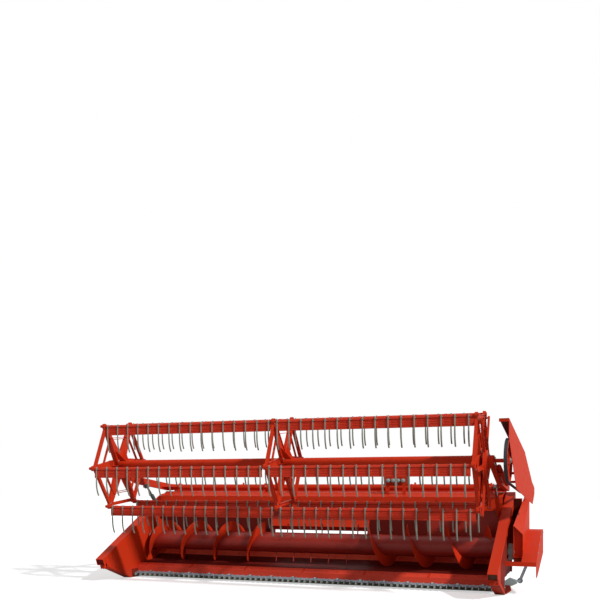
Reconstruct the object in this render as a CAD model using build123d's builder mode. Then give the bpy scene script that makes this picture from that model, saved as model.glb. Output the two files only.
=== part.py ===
from build123d import *
from math import asin, atan2, cos, degrees, hypot, radians, sin, sqrt
import os

os.makedirs("parts", exist_ok=True)

# Grain header of a combine harvester: a cutting platform with its auger and reel, in millimetres.
# X runs to the drive end, Y to the rear and Z up.
# The origin is the middle of the face that seats on the feeder house.
# Below, a depth is measured rearwards from the reel shaft at rest, and a height from the ground.

# Platform
GUARD_PITCH = 76.2
GUARD_COUNT = 65
CUT_WIDTH = GUARD_PITCH * GUARD_COUNT
HALF_WIDTH = CUT_WIDTH / 2
SHEET = 4.0
TUBE_WALL = 5.0
FACE_DEPTH = 1420.0
OPENING_HALF = 710.0
OPENING_BOTTOM = 340.0
OPENING_TOP = 670.0
FACE_HEIGHT = (OPENING_BOTTOM + OPENING_TOP) / 2

# Auger and its trough
AUGER_DEPTH = 1000.0
AUGER_HEIGHT = 505.0
FLIGHT_RADIUS = 275.0
FLIGHT_PITCH = 510.0
FLIGHT_SHEET = 5.0
FLIGHT_TURNS = 3.4
AUGER_TUBE_RADIUS = 135.0
AUGER_TUBE_WALL = 5.0
AUGER_END_GAP = 30.0
AUGER_SHAFT_RADIUS = 25.0
FINGER_RADIUS = 8.0
FINGER_PITCH = 250.0
FINGER_ROW = 6
TROUGH_GAP = 15.0
TROUGH_RADIUS = FLIGHT_RADIUS + TROUGH_GAP
WALL_DEPTH = AUGER_DEPTH + TROUGH_RADIUS

# Floor lip and cutter bar
BAR_FRONT = 585.0
BAR_REAR = 650.0
BAR_BOTTOM = 66.0
BAR_TOP = 78.0
LIP_DEPTH = 606.0
LIP_HEIGHT = 146.0
LIP_LEAN = 8.0
CREST_DEPTH = 705.0
CREST_HEIGHT = 190.0
GUARD_TIP_DEPTH = 470.0
GUARD_WIDTH = 26.0
GUARD_TIP_WIDTH = 5.0
GUARD_BOTTOM = 46.0
GUARD_TIP_HEIGHT = 27.0
LEDGE_HEIGHT = 60.0
BLADE_THICKNESS = 3.0
BLADE_GAP = 0.5
BLADE_TIP_DEPTH = 503.0
BLADE_TIP_WIDTH = 16.0
BACK_WIDTH = 20.0
BACK_THICKNESS = 6.0

# Wall top and rear beams
BOX_BOTTOM = 955.0
BOX_FRONT = 1225.0
BOX_LEAN = 8.0
BOX_CREST = 1600.0
BOX_REAR = 1640.0
BOX_TOP = 1194.0
BOX_ROOF_RADIUS = 1100.0
BOX_UPSTAND = 22.0
BOX_FLAT_END = 1360.0
BOX_REAR_BOTTOM = 1110.0
BEAM_SIZE = 100.0
BEAM_BOTTOM = 90.0
BEAM_FRONT = 1240.0
RIB_BOTTOM = 60.0
RIB_TOP = 236.0
RIB_THICKNESS = 6.0
SHOE_WIDTH = 150.0
SHOE_THICKNESS = 8.0

# Ends and crop dividers
NOSE_DEPTH = -230.0
NOSE_HEIGHT = 305.0
EDGE_DEPTH = 800.0
EDGE_HEIGHT = 829.0
EDGE_REAR_DEPTH = 1305.0
EDGE_REAR_HEIGHT = 1047.0
DIVIDER_WIDTH = 113.0
DIVIDER_DEPTH = 92.0
TOE_DEPTH = 441.0
HEEL_DEPTH = 1030.0
HEEL_NOSE_DEPTH = -125.0
HEEL_NOSE_HEIGHT = 205.0

# Reel
REEL_HEIGHT = 1555.0
BAT_RADIUS = 603.0
BAT_PHASE = 6.0
BAT_COUNT = 6
BAT_DROP = 122.0
BAT_SHEET = 3.0
BAT_LIP = 22.0
BAT_SHAFT_RADIUS = 12.5
TINE_PITCH = 150.0
TINES_PER_HALF = 16
TINE_FIRST = 55.5
TINE_WIDTH = 9.0
TINE_THICKNESS = 7.0
TINE_LENGTH = 340.0
TINE_KNEE = 250.0
TINE_SWEEP = 55.0
REEL_TUBE_RADIUS = 60.0
REEL_SHAFT_RADIUS = 22.5
SPIDER_X = (-2355.0, 0.0, 2385.0)
SPIDER_SHEET = 6.0
SPIDER_FLANGE = 4.0
SPOKE_ROOT = 180.0
SPOKE_TIP = 66.0
RIM_SHARE = 0.95
RIM_WIDTH = 40.0
RING_SHARE = 0.66
RING_WIDTH = 8.0
PIN_GAP = 0.3

# Reel control: a second spider turns on a disc set below the reel shaft and keeps the tines upright
CONTROL_DROP = 50.0
CONTROL_X = 2430.0
CONTROL_DISC_RADIUS = 170.0
CONTROL_RING = 30.0
CONTROL_SPOKE = 46.0
CONTROL_FLANGE_END = 2447.0

# Reel arms and drive
PIVOT_DEPTH = 1500.0
PIVOT_HEIGHT = 1255.0
LIFT_TUBE_RADIUS = 42.0
ARM_X = 2500.0
ARM_THICKNESS = 50.0
ARM_WIDTH = 100.0
ARM_KNEE_DEPTH = 640.0
ARM_KNEE_HEIGHT = 1350.0
PULLEY_X = 2680.0
PULLEY_RADIUS = 250.0
PULLEY_WIDTH = 44.0
DRIVE_PULLEY_RADIUS = 80.0
BELT_THICKNESS = 12.0
BELT_WIDTH = 34.0

# Lift cylinders, inside the end sheets
CYLINDER_X = 2440.0
LUG_DEPTH = 790.0
LUG_HEIGHT = 1268.0
FOOT_DEPTH = 1225.0
FOOT_HEIGHT = 850.0
BARREL_RADIUS = 28.0
BARREL_LENGTH = 415.0
ROD_RADIUS = 14.0
EYE_RADIUS = 28.0
EYE_WIDTH = 30.0
CYLINDER_PIN = 12.5
BOSS_RADIUS = 24.0
BOSS_GAP = 2.0

# Drive end
BRACE_DEPTH = 500.0
BRACE_HEIGHT = 360.0
BRACE_SIZE = 40.0
HOUSING_X = 2665.0
HOUSING_END = 2775.0
HOUSING_BOTTOM = 420.0
HOUSING_FRONT = 680.0
HOUSING_INNER_TOP = 800.0
HOUSING_OUTER_TOP = 698.0
HOUSING_REAR = 1545.0
HOUSING_REAR_X = 2704.0
HOUSING_TOP = 1115.0
GUARD_PLATE_X = 2940.0
LEVER_PIVOT_X = 2840.0
LEVER_PIVOT_HEIGHT = 380.0
LEVER_PIN_X = 2750.0
LEVER_PIN_HEIGHT = 157.0
LEVER_THICKNESS = 14.0
LINK_THICKNESS = 12.0
LINK_GAP = 2.0

ENDS = (("left", -1), ("right", 1))


def side(x):
    """Plane across the header at x: its own x is the depth, its own y the height."""
    return Plane(origin=(x, -FACE_DEPTH, -FACE_HEIGHT), x_dir=(0, 1, 0), z_dir=(1, 0, 0))


def front(depth):
    """Upright plane at a depth, seen from the front: its own x is X, its own y the height."""
    return Plane(origin=(0, depth - FACE_DEPTH, -FACE_HEIGHT), x_dir=(1, 0, 0), z_dir=(0, -1, 0))


def plan(height):
    """Level plane at a height: its own x is X, its own y the depth."""
    return Plane(origin=(0, -FACE_DEPTH, height - FACE_HEIGHT), x_dir=(1, 0, 0), z_dir=(0, 0, 1))


def strut(start, end, width):
    """Oblong between two points of a sketch, with round ends."""
    length = hypot(end[0] - start[0], end[1] - start[1])
    angle = degrees(atan2(end[1] - start[1], end[0] - start[0]))
    with Locations(((start[0] + end[0]) / 2, (start[1] + end[1]) / 2)):
        SlotCenterToCenter(length, width, rotation=angle)


def save(piece, name):
    """Label a finished piece and write its file."""
    piece.part.label = name
    export_step(piece.part, f"parts/{name}.step")


# The floor line touches the trough where its slope meets the circle round the auger
TO_AUGER = hypot(AUGER_DEPTH - CREST_DEPTH, AUGER_HEIGHT - CREST_HEIGHT)
TO_AUGER_ANGLE = degrees(atan2(AUGER_HEIGHT - CREST_HEIGHT, AUGER_DEPTH - CREST_DEPTH))
FLOOR_ANGLE = TO_AUGER_ANGLE - degrees(asin(TROUGH_RADIUS / TO_AUGER))
TOUCH = (
    AUGER_DEPTH + TROUGH_RADIUS * sin(radians(FLOOR_ANGLE)),
    AUGER_HEIGHT - TROUGH_RADIUS * cos(radians(FLOOR_ANGLE)),
)

# Floor pan: lip over the cutter bar, ramp, floor and trough
with BuildPart() as floor_pan:
    with BuildSketch(side(-HALF_WIDTH)):
        with BuildLine():
            Polyline(
                (LIP_DEPTH, BAR_TOP),
                (LIP_DEPTH + LIP_LEAN, LIP_HEIGHT),
                (CREST_DEPTH, CREST_HEIGHT),
                TOUCH,
            )
            CenterArc((AUGER_DEPTH, AUGER_HEIGHT), TROUGH_RADIUS, FLOOR_ANGLE - 90, 90 - FLOOR_ANGLE)
            offset(amount=SHEET, side=Side.RIGHT, kind=Kind.INTERSECTION)
        make_face()
        with Locations((LIP_DEPTH, BAR_TOP)):
            Rectangle(4 * SHEET, SHEET, align=(Align.CENTER, Align.MAX), mode=Mode.SUBTRACT)
    extrude(amount=CUT_WIDTH)
    with BuildSketch(side(-OPENING_HALF - SHEET)):
        with Locations((AUGER_DEPTH, OPENING_BOTTOM - SHEET)):
            Rectangle(2 * TROUGH_RADIUS, 2 * TROUGH_RADIUS, align=(Align.MIN, Align.MIN))
    extrude(amount=2 * (OPENING_HALF + SHEET), mode=Mode.SUBTRACT)
save(floor_pan, "floor_pan")

# Rear wall over the trough, with the feeder opening
with BuildPart() as rear_wall:
    with BuildSketch(front(WALL_DEPTH)):
        with Locations((0, AUGER_HEIGHT)):
            Rectangle(CUT_WIDTH, BOX_BOTTOM - AUGER_HEIGHT, align=(Align.CENTER, Align.MIN))
        with Locations((0, OPENING_TOP + SHEET)):
            Rectangle(
                2 * (OPENING_HALF + SHEET),
                2 * (OPENING_TOP + SHEET - AUGER_HEIGHT),
                align=(Align.CENTER, Align.MAX),
                mode=Mode.SUBTRACT,
            )
    extrude(amount=-SHEET)
save(rear_wall, "rear_wall")



def roof_height(depth):
    """Height of the top box's round roof at a depth in front of its crest."""
    return BOX_TOP - BOX_ROOF_RADIUS + sqrt(BOX_ROOF_RADIUS**2 - (BOX_CREST - depth) ** 2)


# Section of the top box: upright front, round roof and a floor that rises behind the feeder frame
BOX_MIDDLE = (BOX_FRONT + BOX_CREST) / 2
with BuildSketch() as box_section:
    with BuildLine():
        Polyline(
            (BOX_CREST, BOX_TOP),
            (BOX_REAR, BOX_TOP),
            (BOX_REAR, BOX_REAR_BOTTOM),
            (BOX_FLAT_END, BOX_BOTTOM),
            (BOX_FRONT, BOX_BOTTOM),
            (BOX_FRONT + BOX_LEAN, roof_height(BOX_FRONT + BOX_LEAN)),
        )
        ThreePointArc(
            (BOX_FRONT + BOX_LEAN, roof_height(BOX_FRONT + BOX_LEAN)),
            (BOX_MIDDLE, roof_height(BOX_MIDDLE)),
            (BOX_CREST, BOX_TOP),
        )
    make_face()

# Hollow box beam along the top of the wall
with BuildPart() as top_box:
    with BuildSketch(side(-HALF_WIDTH)):
        add(box_section.sketch)
        offset(amount=-SHEET, kind=Kind.INTERSECTION, mode=Mode.SUBTRACT)
        with Locations((BOX_REAR, BOX_TOP)):
            Rectangle(SHEET, BOX_UPSTAND, align=(Align.MAX, Align.MIN))
    extrude(amount=CUT_WIDTH)
save(top_box, "top_box")

# Square beam low behind the trough
with BuildPart() as lower_beam:
    with BuildSketch(side(-HALF_WIDTH)):
        with Locations((BEAM_FRONT, BEAM_BOTTOM)):
            Rectangle(BEAM_SIZE, BEAM_SIZE, align=(Align.MIN, Align.MIN))
        with Locations((BEAM_FRONT + TUBE_WALL, BEAM_BOTTOM + TUBE_WALL)):
            Rectangle(
                BEAM_SIZE - 2 * TUBE_WALL,
                BEAM_SIZE - 2 * TUBE_WALL,
                align=(Align.MIN, Align.MIN),
                mode=Mode.SUBTRACT,
            )
    extrude(amount=CUT_WIDTH)
save(lower_beam, "lower_beam")

# Ribs that carry the floor on the lower beam, at these places from the middle
RIB_X = (250.0, 850.0, 1350.0, 1850.0, 2400.0)
SHOE_X = (850.0, 1850.0)
FLOOR_SLOPE = (sin(radians(FLOOR_ANGLE)), cos(radians(FLOOR_ANGLE)))
with BuildPart() as pan_ribs:
    for rib_x in [way * x for x in RIB_X for way in (-1, 1)]:
        with BuildSketch(side(rib_x - RIB_THICKNESS / 2)):
            with BuildLine():
                Polyline(
                    (BAR_REAR, RIB_BOTTOM),
                    (BEAM_FRONT, RIB_BOTTOM),
                    (BEAM_FRONT, RIB_TOP),
                    (AUGER_DEPTH, RIB_TOP),
                    (TOUCH[0] + SHEET * FLOOR_SLOPE[0], TOUCH[1] - SHEET * FLOOR_SLOPE[1]),
                    (CREST_DEPTH + SHEET * FLOOR_SLOPE[0], CREST_HEIGHT - SHEET * FLOOR_SLOPE[1] - SHEET),
                    (BAR_REAR, BAR_TOP),
                    close=True,
                )
            make_face()
            with Locations((AUGER_DEPTH, AUGER_HEIGHT)):
                Circle(TROUGH_RADIUS + SHEET, mode=Mode.SUBTRACT)
        extrude(amount=RIB_THICKNESS)
save(pan_ribs, "pan_ribs")

# Skid shoes under the ribs
with BuildPart() as skid_shoes:
    for shoe_x in [way * x for x in SHOE_X for way in (-1, 1)]:
        with BuildSketch(side(shoe_x - SHOE_WIDTH / 2)):
            with BuildLine():
                Polyline(
                    (BAR_REAR + 5, RIB_BOTTOM),
                    (BAR_REAR + 45, RIB_BOTTOM),
                    (BAR_REAR + 140, SHOE_THICKNESS),
                    (BEAM_FRONT - 100, SHOE_THICKNESS),
                    (BEAM_FRONT - 40, RIB_BOTTOM),
                    (BEAM_FRONT - 5, RIB_BOTTOM),
                )
                offset(amount=SHOE_THICKNESS, side=Side.RIGHT, kind=Kind.INTERSECTION)
            make_face()
        extrude(amount=SHOE_WIDTH)
save(skid_shoes, "skid_shoes")

# Channel ribs up the back of the wall, at these places from the middle
RIB_WALL_X = (860.0, 1350.0, 1850.0, 2350.0)
RIB_WALL_WIDTH = 70.0
RIB_WALL_DEPTH = 50.0
with BuildPart() as wall_ribs:
    for rib_x in [way * x for x in RIB_WALL_X for way in (-1, 1)]:
        with BuildSketch(plan(BEAM_BOTTOM + BEAM_SIZE)):
            with Locations((rib_x, WALL_DEPTH + SHEET)):
                Rectangle(RIB_WALL_WIDTH, RIB_WALL_DEPTH, align=(Align.CENTER, Align.MIN))
                Rectangle(
                    RIB_WALL_WIDTH - 2 * SHEET,
                    RIB_WALL_DEPTH - SHEET,
                    align=(Align.CENTER, Align.MIN),
                    mode=Mode.SUBTRACT,
                )
        extrude(amount=BOX_BOTTOM - BEAM_BOTTOM - BEAM_SIZE)
save(wall_ribs, "wall_ribs")

# Feeder frame: short tunnel through the wall, frame round it, hooks above and latch pins below
FRAME_BAR = 70.0
FRAME_DEPTH = 80.0
FRAME_PLATE = 10.0
FRAME_RIM = 8.0
BOLT_RADIUS = 8.75
BOLT_INSET = 35.0
LATCH_RADIUS = 12.5
LATCH_LENGTH = 50.0
LATCH_HEIGHT = 300.0
with BuildPart() as feeder_frame:
    with BuildSketch(side(-OPENING_HALF - SHEET)):
        with BuildLine():
            Polyline(
                (AUGER_DEPTH, OPENING_BOTTOM - SHEET),
                (FACE_DEPTH, OPENING_BOTTOM - SHEET),
                (FACE_DEPTH, OPENING_TOP + SHEET),
                (WALL_DEPTH, OPENING_TOP + SHEET),
                (WALL_DEPTH, AUGER_HEIGHT),
                (AUGER_DEPTH, AUGER_HEIGHT),
                close=True,
            )
        make_face()
        with Locations((AUGER_DEPTH, AUGER_HEIGHT)):
            Circle(TROUGH_RADIUS, mode=Mode.SUBTRACT)
    extrude(amount=2 * (OPENING_HALF + SHEET))
    with BuildSketch(front(FACE_DEPTH)):
        with Locations((0, (OPENING_BOTTOM + OPENING_TOP) / 2)):
            Rectangle(
                2 * (OPENING_HALF + FRAME_BAR),
                OPENING_TOP - OPENING_BOTTOM + 2 * FRAME_BAR,
            )
    extrude(amount=FRAME_DEPTH)
    with BuildSketch(front(FACE_DEPTH - FRAME_PLATE)):
        with Locations((0, (OPENING_BOTTOM + OPENING_TOP) / 2)):
            Rectangle(
                2 * (OPENING_HALF + FRAME_BAR - FRAME_RIM),
                OPENING_TOP - OPENING_BOTTOM + 2 * (FRAME_BAR - FRAME_RIM),
            )
            Rectangle(
                2 * (OPENING_HALF + SHEET),
                OPENING_TOP - OPENING_BOTTOM + 2 * SHEET,
                mode=Mode.SUBTRACT,
            )
    extrude(amount=FRAME_DEPTH, mode=Mode.SUBTRACT)
    with BuildSketch(front(FACE_DEPTH)):
        with Locations((0, (OPENING_BOTTOM + OPENING_TOP) / 2)):
            Rectangle(2 * OPENING_HALF, OPENING_TOP - OPENING_BOTTOM)
    extrude(amount=FACE_DEPTH - AUGER_DEPTH + 1, mode=Mode.SUBTRACT)
    with BuildSketch(front(FACE_DEPTH)):
        with Locations((0, (OPENING_BOTTOM + OPENING_TOP) / 2)):
            with GridLocations(
                2 * (OPENING_HALF + BOLT_INSET),
                OPENING_TOP - OPENING_BOTTOM + 2 * BOLT_INSET,
                2,
                2,
            ):
                Circle(BOLT_RADIUS)
    extrude(amount=FRAME_PLATE, mode=Mode.SUBTRACT)
    for way in (-1, 1):
        with BuildSketch(side(way * (OPENING_HALF + FRAME_BAR))):
            with Locations((FACE_DEPTH - FRAME_DEPTH / 2, LATCH_HEIGHT)):
                Circle(LATCH_RADIUS)
        extrude(amount=way * LATCH_LENGTH)
    HOOK_SHEET = 16.0
    for hook_x in (-560.0, -200.0, 200.0, 560.0):
        with BuildSketch(side(hook_x - HOOK_SHEET / 2)):
            with BuildLine():
                Polyline(
                    (FACE_DEPTH - FRAME_DEPTH, OPENING_TOP + FRAME_BAR),
                    (FACE_DEPTH, OPENING_TOP + FRAME_BAR),
                    (FACE_DEPTH, OPENING_TOP + FRAME_BAR + 40),
                    (FACE_DEPTH + 60, OPENING_TOP + FRAME_BAR + 40),
                    (FACE_DEPTH + 60, OPENING_TOP + FRAME_BAR),
                    (FACE_DEPTH + 85, OPENING_TOP + FRAME_BAR),
                    (FACE_DEPTH + 85, OPENING_TOP + FRAME_BAR + 75),
                    (FACE_DEPTH - FRAME_DEPTH, OPENING_TOP + FRAME_BAR + 100),
                    close=True,
                )
            make_face()
        extrude(amount=HOOK_SHEET)
save(feeder_frame, "feeder_frame")

# Slanted plate over the feeder opening that strips crop off the auger
HOOD_DEPTH = 1235.0
HOOD_BOTTOM = 716.0
HOOD_TOP = 805.0
with BuildPart() as opening_hood:
    with BuildSketch(side(-OPENING_HALF - SHEET)):
        with BuildLine():
            Polyline(
                (WALL_DEPTH, HOOD_TOP),
                (HOOD_DEPTH, HOOD_BOTTOM),
                (WALL_DEPTH, OPENING_TOP + 2 * SHEET),
            )
            offset(amount=SHEET, side=Side.LEFT, kind=Kind.INTERSECTION)
        make_face()
        with Locations((WALL_DEPTH, OPENING_TOP)):
            Rectangle(
                TROUGH_GAP,
                2 * (HOOD_TOP - OPENING_TOP),
                align=(Align.MIN, Align.MIN),
                mode=Mode.SUBTRACT,
            )
    extrude(amount=2 * (OPENING_HALF + SHEET))
save(opening_hood, "opening_hood")

# End sheets and crop dividers. A divider is a hollow beam along the top edge, a runner along the foot
# and an outer sheet between them.
NOTCH_REAR = 660.0
NOTCH_TOP = 117.0
RUNNER_SHEET = 6.0
OUTER_SHEET_REAR = 640.0
OUTER_SHEET_BOTTOM = 205.0
EDGE_SLOPE = (EDGE_HEIGHT - NOSE_HEIGHT) / (EDGE_DEPTH - NOSE_DEPTH)


def under_edge(depth):
    """Height half a beam below the dividers' top edge."""
    return NOSE_HEIGHT + EDGE_SLOPE * (depth - NOSE_DEPTH) - DIVIDER_DEPTH / 2


for end_name, way in ENDS:
    with BuildPart() as end_sheet:
        with BuildSketch(side(way * HALF_WIDTH)):
            with BuildLine():
                Polyline(
                    (NOSE_DEPTH + 60, NOSE_HEIGHT - 10),
                    (EDGE_DEPTH, EDGE_HEIGHT),
                    (EDGE_REAR_DEPTH, EDGE_REAR_HEIGHT),
                    (BOX_CREST, BOX_TOP),
                    (BOX_REAR, BOX_TOP),
                    (BOX_REAR, BOX_REAR_BOTTOM),
                    (BOX_FLAT_END, BOX_BOTTOM),
                    (BEAM_FRONT + BEAM_SIZE, BOX_BOTTOM),
                    (BEAM_FRONT + BEAM_SIZE, BEAM_BOTTOM),
                    (HEEL_DEPTH, RUNNER_SHEET),
                    (TOE_DEPTH, RUNNER_SHEET),
                    (HEEL_NOSE_DEPTH, HEEL_NOSE_HEIGHT),
                    close=True,
                )
            make_face()
            with Locations((NOTCH_REAR, RUNNER_SHEET + 10)):
                Rectangle(
                    NOTCH_REAR - TOE_DEPTH - 15,
                    NOTCH_TOP - RUNNER_SHEET - 10,
                    align=(Align.MAX, Align.MIN),
                    mode=Mode.SUBTRACT,
                )
            with Locations((AUGER_DEPTH, AUGER_HEIGHT)):
                Circle(AUGER_SHAFT_RADIUS + PIN_GAP, mode=Mode.SUBTRACT)
        extrude(amount=way * SHEET)
        with BuildSketch(side(way * HALF_WIDTH)):
            with Locations((FOOT_DEPTH, FOOT_HEIGHT)):
                Circle(BOSS_RADIUS)
        extrude(amount=-way * (HALF_WIDTH - CYLINDER_X - EYE_WIDTH / 2 - BOSS_GAP))
        with BuildSketch(side(way * HALF_WIDTH)):
            with Locations((FOOT_DEPTH, FOOT_HEIGHT)):
                Circle(CYLINDER_PIN)
        extrude(amount=-way * (HALF_WIDTH - CYLINDER_X + EYE_WIDTH / 2))
    save(end_sheet, f"{end_name}_end_sheet")

    with BuildPart() as divider:
        with BuildSketch(side(way * (HALF_WIDTH + SHEET))):
            with BuildLine():
                Polyline(
                    (NOSE_DEPTH, NOSE_HEIGHT),
                    (EDGE_DEPTH, EDGE_HEIGHT),
                    (EDGE_REAR_DEPTH, EDGE_REAR_HEIGHT),
                    (BOX_CREST, BOX_TOP),
                )
                offset(amount=DIVIDER_DEPTH, side=Side.RIGHT, kind=Kind.INTERSECTION)
            make_face()
        extrude(amount=way * DIVIDER_WIDTH)
        mouth = divider.faces().sort_by(Axis.Y)[0]
        offset(amount=-TUBE_WALL, openings=mouth)
        with BuildSketch(side(way * (HALF_WIDTH + SHEET))):
            with BuildLine():
                Polyline(
                    (HEEL_NOSE_DEPTH, HEEL_NOSE_HEIGHT),
                    (TOE_DEPTH, RUNNER_SHEET),
                    (HEEL_DEPTH, RUNNER_SHEET),
                )
                offset(amount=RUNNER_SHEET, side=Side.RIGHT, kind=Kind.INTERSECTION)
            make_face()
        extrude(amount=way * DIVIDER_WIDTH)
        with BuildSketch(side(way * (HALF_WIDTH + SHEET + DIVIDER_WIDTH))):
            with BuildLine():
                Polyline(
                    (HEEL_NOSE_DEPTH, HEEL_NOSE_HEIGHT - RUNNER_SHEET),
                    (HEEL_NOSE_DEPTH, under_edge(HEEL_NOSE_DEPTH)),
                    (OUTER_SHEET_REAR, under_edge(OUTER_SHEET_REAR)),
                    (OUTER_SHEET_REAR, OUTER_SHEET_BOTTOM),
                    (TOE_DEPTH, OUTER_SHEET_BOTTOM),
                    (TOE_DEPTH, 0),
                    close=True,
                )
            make_face()
        extrude(amount=-way * SHEET)
    save(divider, f"{end_name}_divider")

# Cutter bar with its guards; each guard has a slot for the knife under its lip
GUARD_HEEL = 15.0
GUARD_RISE = 6.0
GUARD_NECK = 8.0
GUARD_SLOT = 6.0
GUARD_LIP = 42.0
GUARD_LIP_TOP = 14.0
GUARD_SHOULDER = 16.0
GUARD_TIP_THICKNESS = 10.0
GUARD_TAPER = 75.0
with BuildPart() as guard:
    with BuildSketch(side(-GUARD_WIDTH / 2)):
        with BuildLine():
            Polyline(
                (GUARD_TIP_DEPTH, GUARD_TIP_HEIGHT),
                (BAR_FRONT, GUARD_BOTTOM),
                (BAR_REAR - GUARD_HEEL, GUARD_BOTTOM + GUARD_RISE),
                (BAR_REAR - GUARD_HEEL, BAR_BOTTOM),
                (BAR_FRONT, BAR_BOTTOM),
                (BAR_FRONT, LEDGE_HEIGHT),
                (BLADE_TIP_DEPTH - GUARD_NECK, LEDGE_HEIGHT),
                (BLADE_TIP_DEPTH - GUARD_NECK, LEDGE_HEIGHT + GUARD_SLOT),
                (BLADE_TIP_DEPTH + GUARD_LIP, LEDGE_HEIGHT + GUARD_SLOT),
                (BLADE_TIP_DEPTH + GUARD_LIP, LEDGE_HEIGHT + GUARD_LIP_TOP),
                (GUARD_TIP_DEPTH + GUARD_SHOULDER, LEDGE_HEIGHT + GUARD_TIP_THICKNESS),
                (GUARD_TIP_DEPTH, GUARD_TIP_HEIGHT + GUARD_TIP_THICKNESS),
                close=True,
            )
        make_face()
    extrude(amount=GUARD_WIDTH)
    with BuildSketch(plan(0)):
        with BuildLine():
            Polyline(
                (-GUARD_TIP_WIDTH / 2, GUARD_TIP_DEPTH),
                (GUARD_TIP_WIDTH / 2, GUARD_TIP_DEPTH),
                (GUARD_WIDTH / 2, GUARD_TIP_DEPTH + GUARD_TAPER),
                (GUARD_WIDTH / 2, BAR_REAR),
                (-GUARD_WIDTH / 2, BAR_REAR),
                (-GUARD_WIDTH / 2, GUARD_TIP_DEPTH + GUARD_TAPER),
                close=True,
            )
        make_face()
    extrude(amount=2 * BAR_TOP, mode=Mode.INTERSECT)

with BuildPart() as cutterbar:
    with BuildSketch(side(-HALF_WIDTH)):
        with Locations((BAR_FRONT, BAR_BOTTOM)):
            Rectangle(BAR_REAR - BAR_FRONT, BAR_TOP - BAR_BOTTOM, align=(Align.MIN, Align.MIN))
    extrude(amount=CUT_WIDTH)
    with GridLocations(GUARD_PITCH, 1, GUARD_COUNT, 1):
        add(guard.part)
save(cutterbar, "cutterbar")

# Knife: blades riveted to a back bar, and the head that the drive link holds
BLADE_BOTTOM = LEDGE_HEIGHT + BLADE_GAP
BACK_GAP = 3.0
BACK_FRONT = BAR_FRONT - BACK_WIDTH - BACK_GAP
BLADE_HEEL = 4.0
BLADE_COUNT = GUARD_COUNT - 1
BLADE_ROW = BLADE_COUNT * GUARD_PITCH / 2
HEAD_X = 2575.0
HEAD_WIDTH = 30.0
with BuildSketch() as blade:
    with BuildLine():
        Polyline(
            (-GUARD_PITCH / 2, BACK_WIDTH / 2),
            (-GUARD_PITCH / 2, -BLADE_HEEL),
            (-BLADE_TIP_WIDTH / 2, BLADE_TIP_DEPTH - BACK_FRONT),
            (BLADE_TIP_WIDTH / 2, BLADE_TIP_DEPTH - BACK_FRONT),
            (GUARD_PITCH / 2, -BLADE_HEEL),
            (GUARD_PITCH / 2, BACK_WIDTH / 2),
            close=True,
        )
    make_face()

LINK_DEPTH = BACK_FRONT
LINK_WIDTH = 30.0
LINK_DROP = 20.0
with BuildPart() as knife:
    with BuildSketch(plan(BLADE_BOTTOM)):
        with Locations((0, BACK_FRONT)):
            with GridLocations(GUARD_PITCH, 1, BLADE_COUNT, 1):
                add(blade.sketch)
    extrude(amount=BLADE_THICKNESS)
    with BuildSketch(plan(BLADE_BOTTOM + BLADE_THICKNESS)):
        with Locations((-BLADE_ROW, BACK_FRONT)):
            Rectangle(HEAD_X + BLADE_ROW, BACK_WIDTH, align=(Align.MIN, Align.MIN))
    extrude(amount=BACK_THICKNESS)
save(knife, "knife")

# Link from the knife head to the lever; the fork at the lever stands open
with BuildPart() as knife_link:
    with BuildSketch(front(LINK_DEPTH + BACK_WIDTH)):
        with Locations((HEAD_X, BLADE_BOTTOM + BLADE_THICKNESS + BACK_THICKNESS)):
            Rectangle(
                HEAD_WIDTH,
                LEVER_PIN_HEIGHT - BLADE_BOTTOM - LINK_DROP,
                align=(Align.MAX, Align.MIN),
            )
    extrude(amount=BACK_WIDTH)
    with BuildSketch(front(LINK_DEPTH + LINK_THICKNESS)):
        strut(
            (HEAD_X - HEAD_WIDTH / 2, LEVER_PIN_HEIGHT - LINK_DROP),
            (LEVER_PIN_X, LEVER_PIN_HEIGHT),
            LINK_WIDTH,
        )
    extrude(amount=LINK_THICKNESS)
save(knife_link, "knife_link")

# Rocker lever that drives the knife
LEVER_DEPTH = LINK_DEPTH + LINK_THICKNESS + LINK_GAP
LEVER_WIDTH = 34.0
LEVER_BOSS = 26.0
with BuildPart() as knife_lever:
    with BuildSketch(front(LEVER_DEPTH + LEVER_THICKNESS)):
        strut((LEVER_PIVOT_X, LEVER_PIVOT_HEIGHT), (LEVER_PIN_X, LEVER_PIN_HEIGHT), LEVER_WIDTH)
        with Locations((LEVER_PIVOT_X, LEVER_PIVOT_HEIGHT)):
            Circle(LEVER_BOSS)
            Circle(CYLINDER_PIN + PIN_GAP, mode=Mode.SUBTRACT)
    extrude(amount=LEVER_THICKNESS)
save(knife_lever, "knife_lever")

# Auger: closed tube on stub shafts, a flight from each end and fingers in the middle
AUGER_END = HALF_WIDTH - AUGER_END_GAP
with BuildPart() as auger_tube:
    with BuildSketch(side(-AUGER_END)):
        with Locations((AUGER_DEPTH, AUGER_HEIGHT)):
            Circle(AUGER_TUBE_RADIUS)
            Circle(AUGER_TUBE_RADIUS - AUGER_TUBE_WALL, mode=Mode.SUBTRACT)
    extrude(amount=2 * AUGER_END)
    for way in (-1, 1):
        with BuildSketch(side(way * AUGER_END)):
            with Locations((AUGER_DEPTH, AUGER_HEIGHT)):
                Circle(AUGER_TUBE_RADIUS - AUGER_TUBE_WALL)
        extrude(amount=-way * 8)
        with BuildSketch(side(way * AUGER_END)):
            with Locations((AUGER_DEPTH, AUGER_HEIGHT)):
                Circle(AUGER_SHAFT_RADIUS)
        extrude(amount=way * (AUGER_END_GAP + SHEET + 50))
save(auger_tube, "auger_tube")


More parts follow.
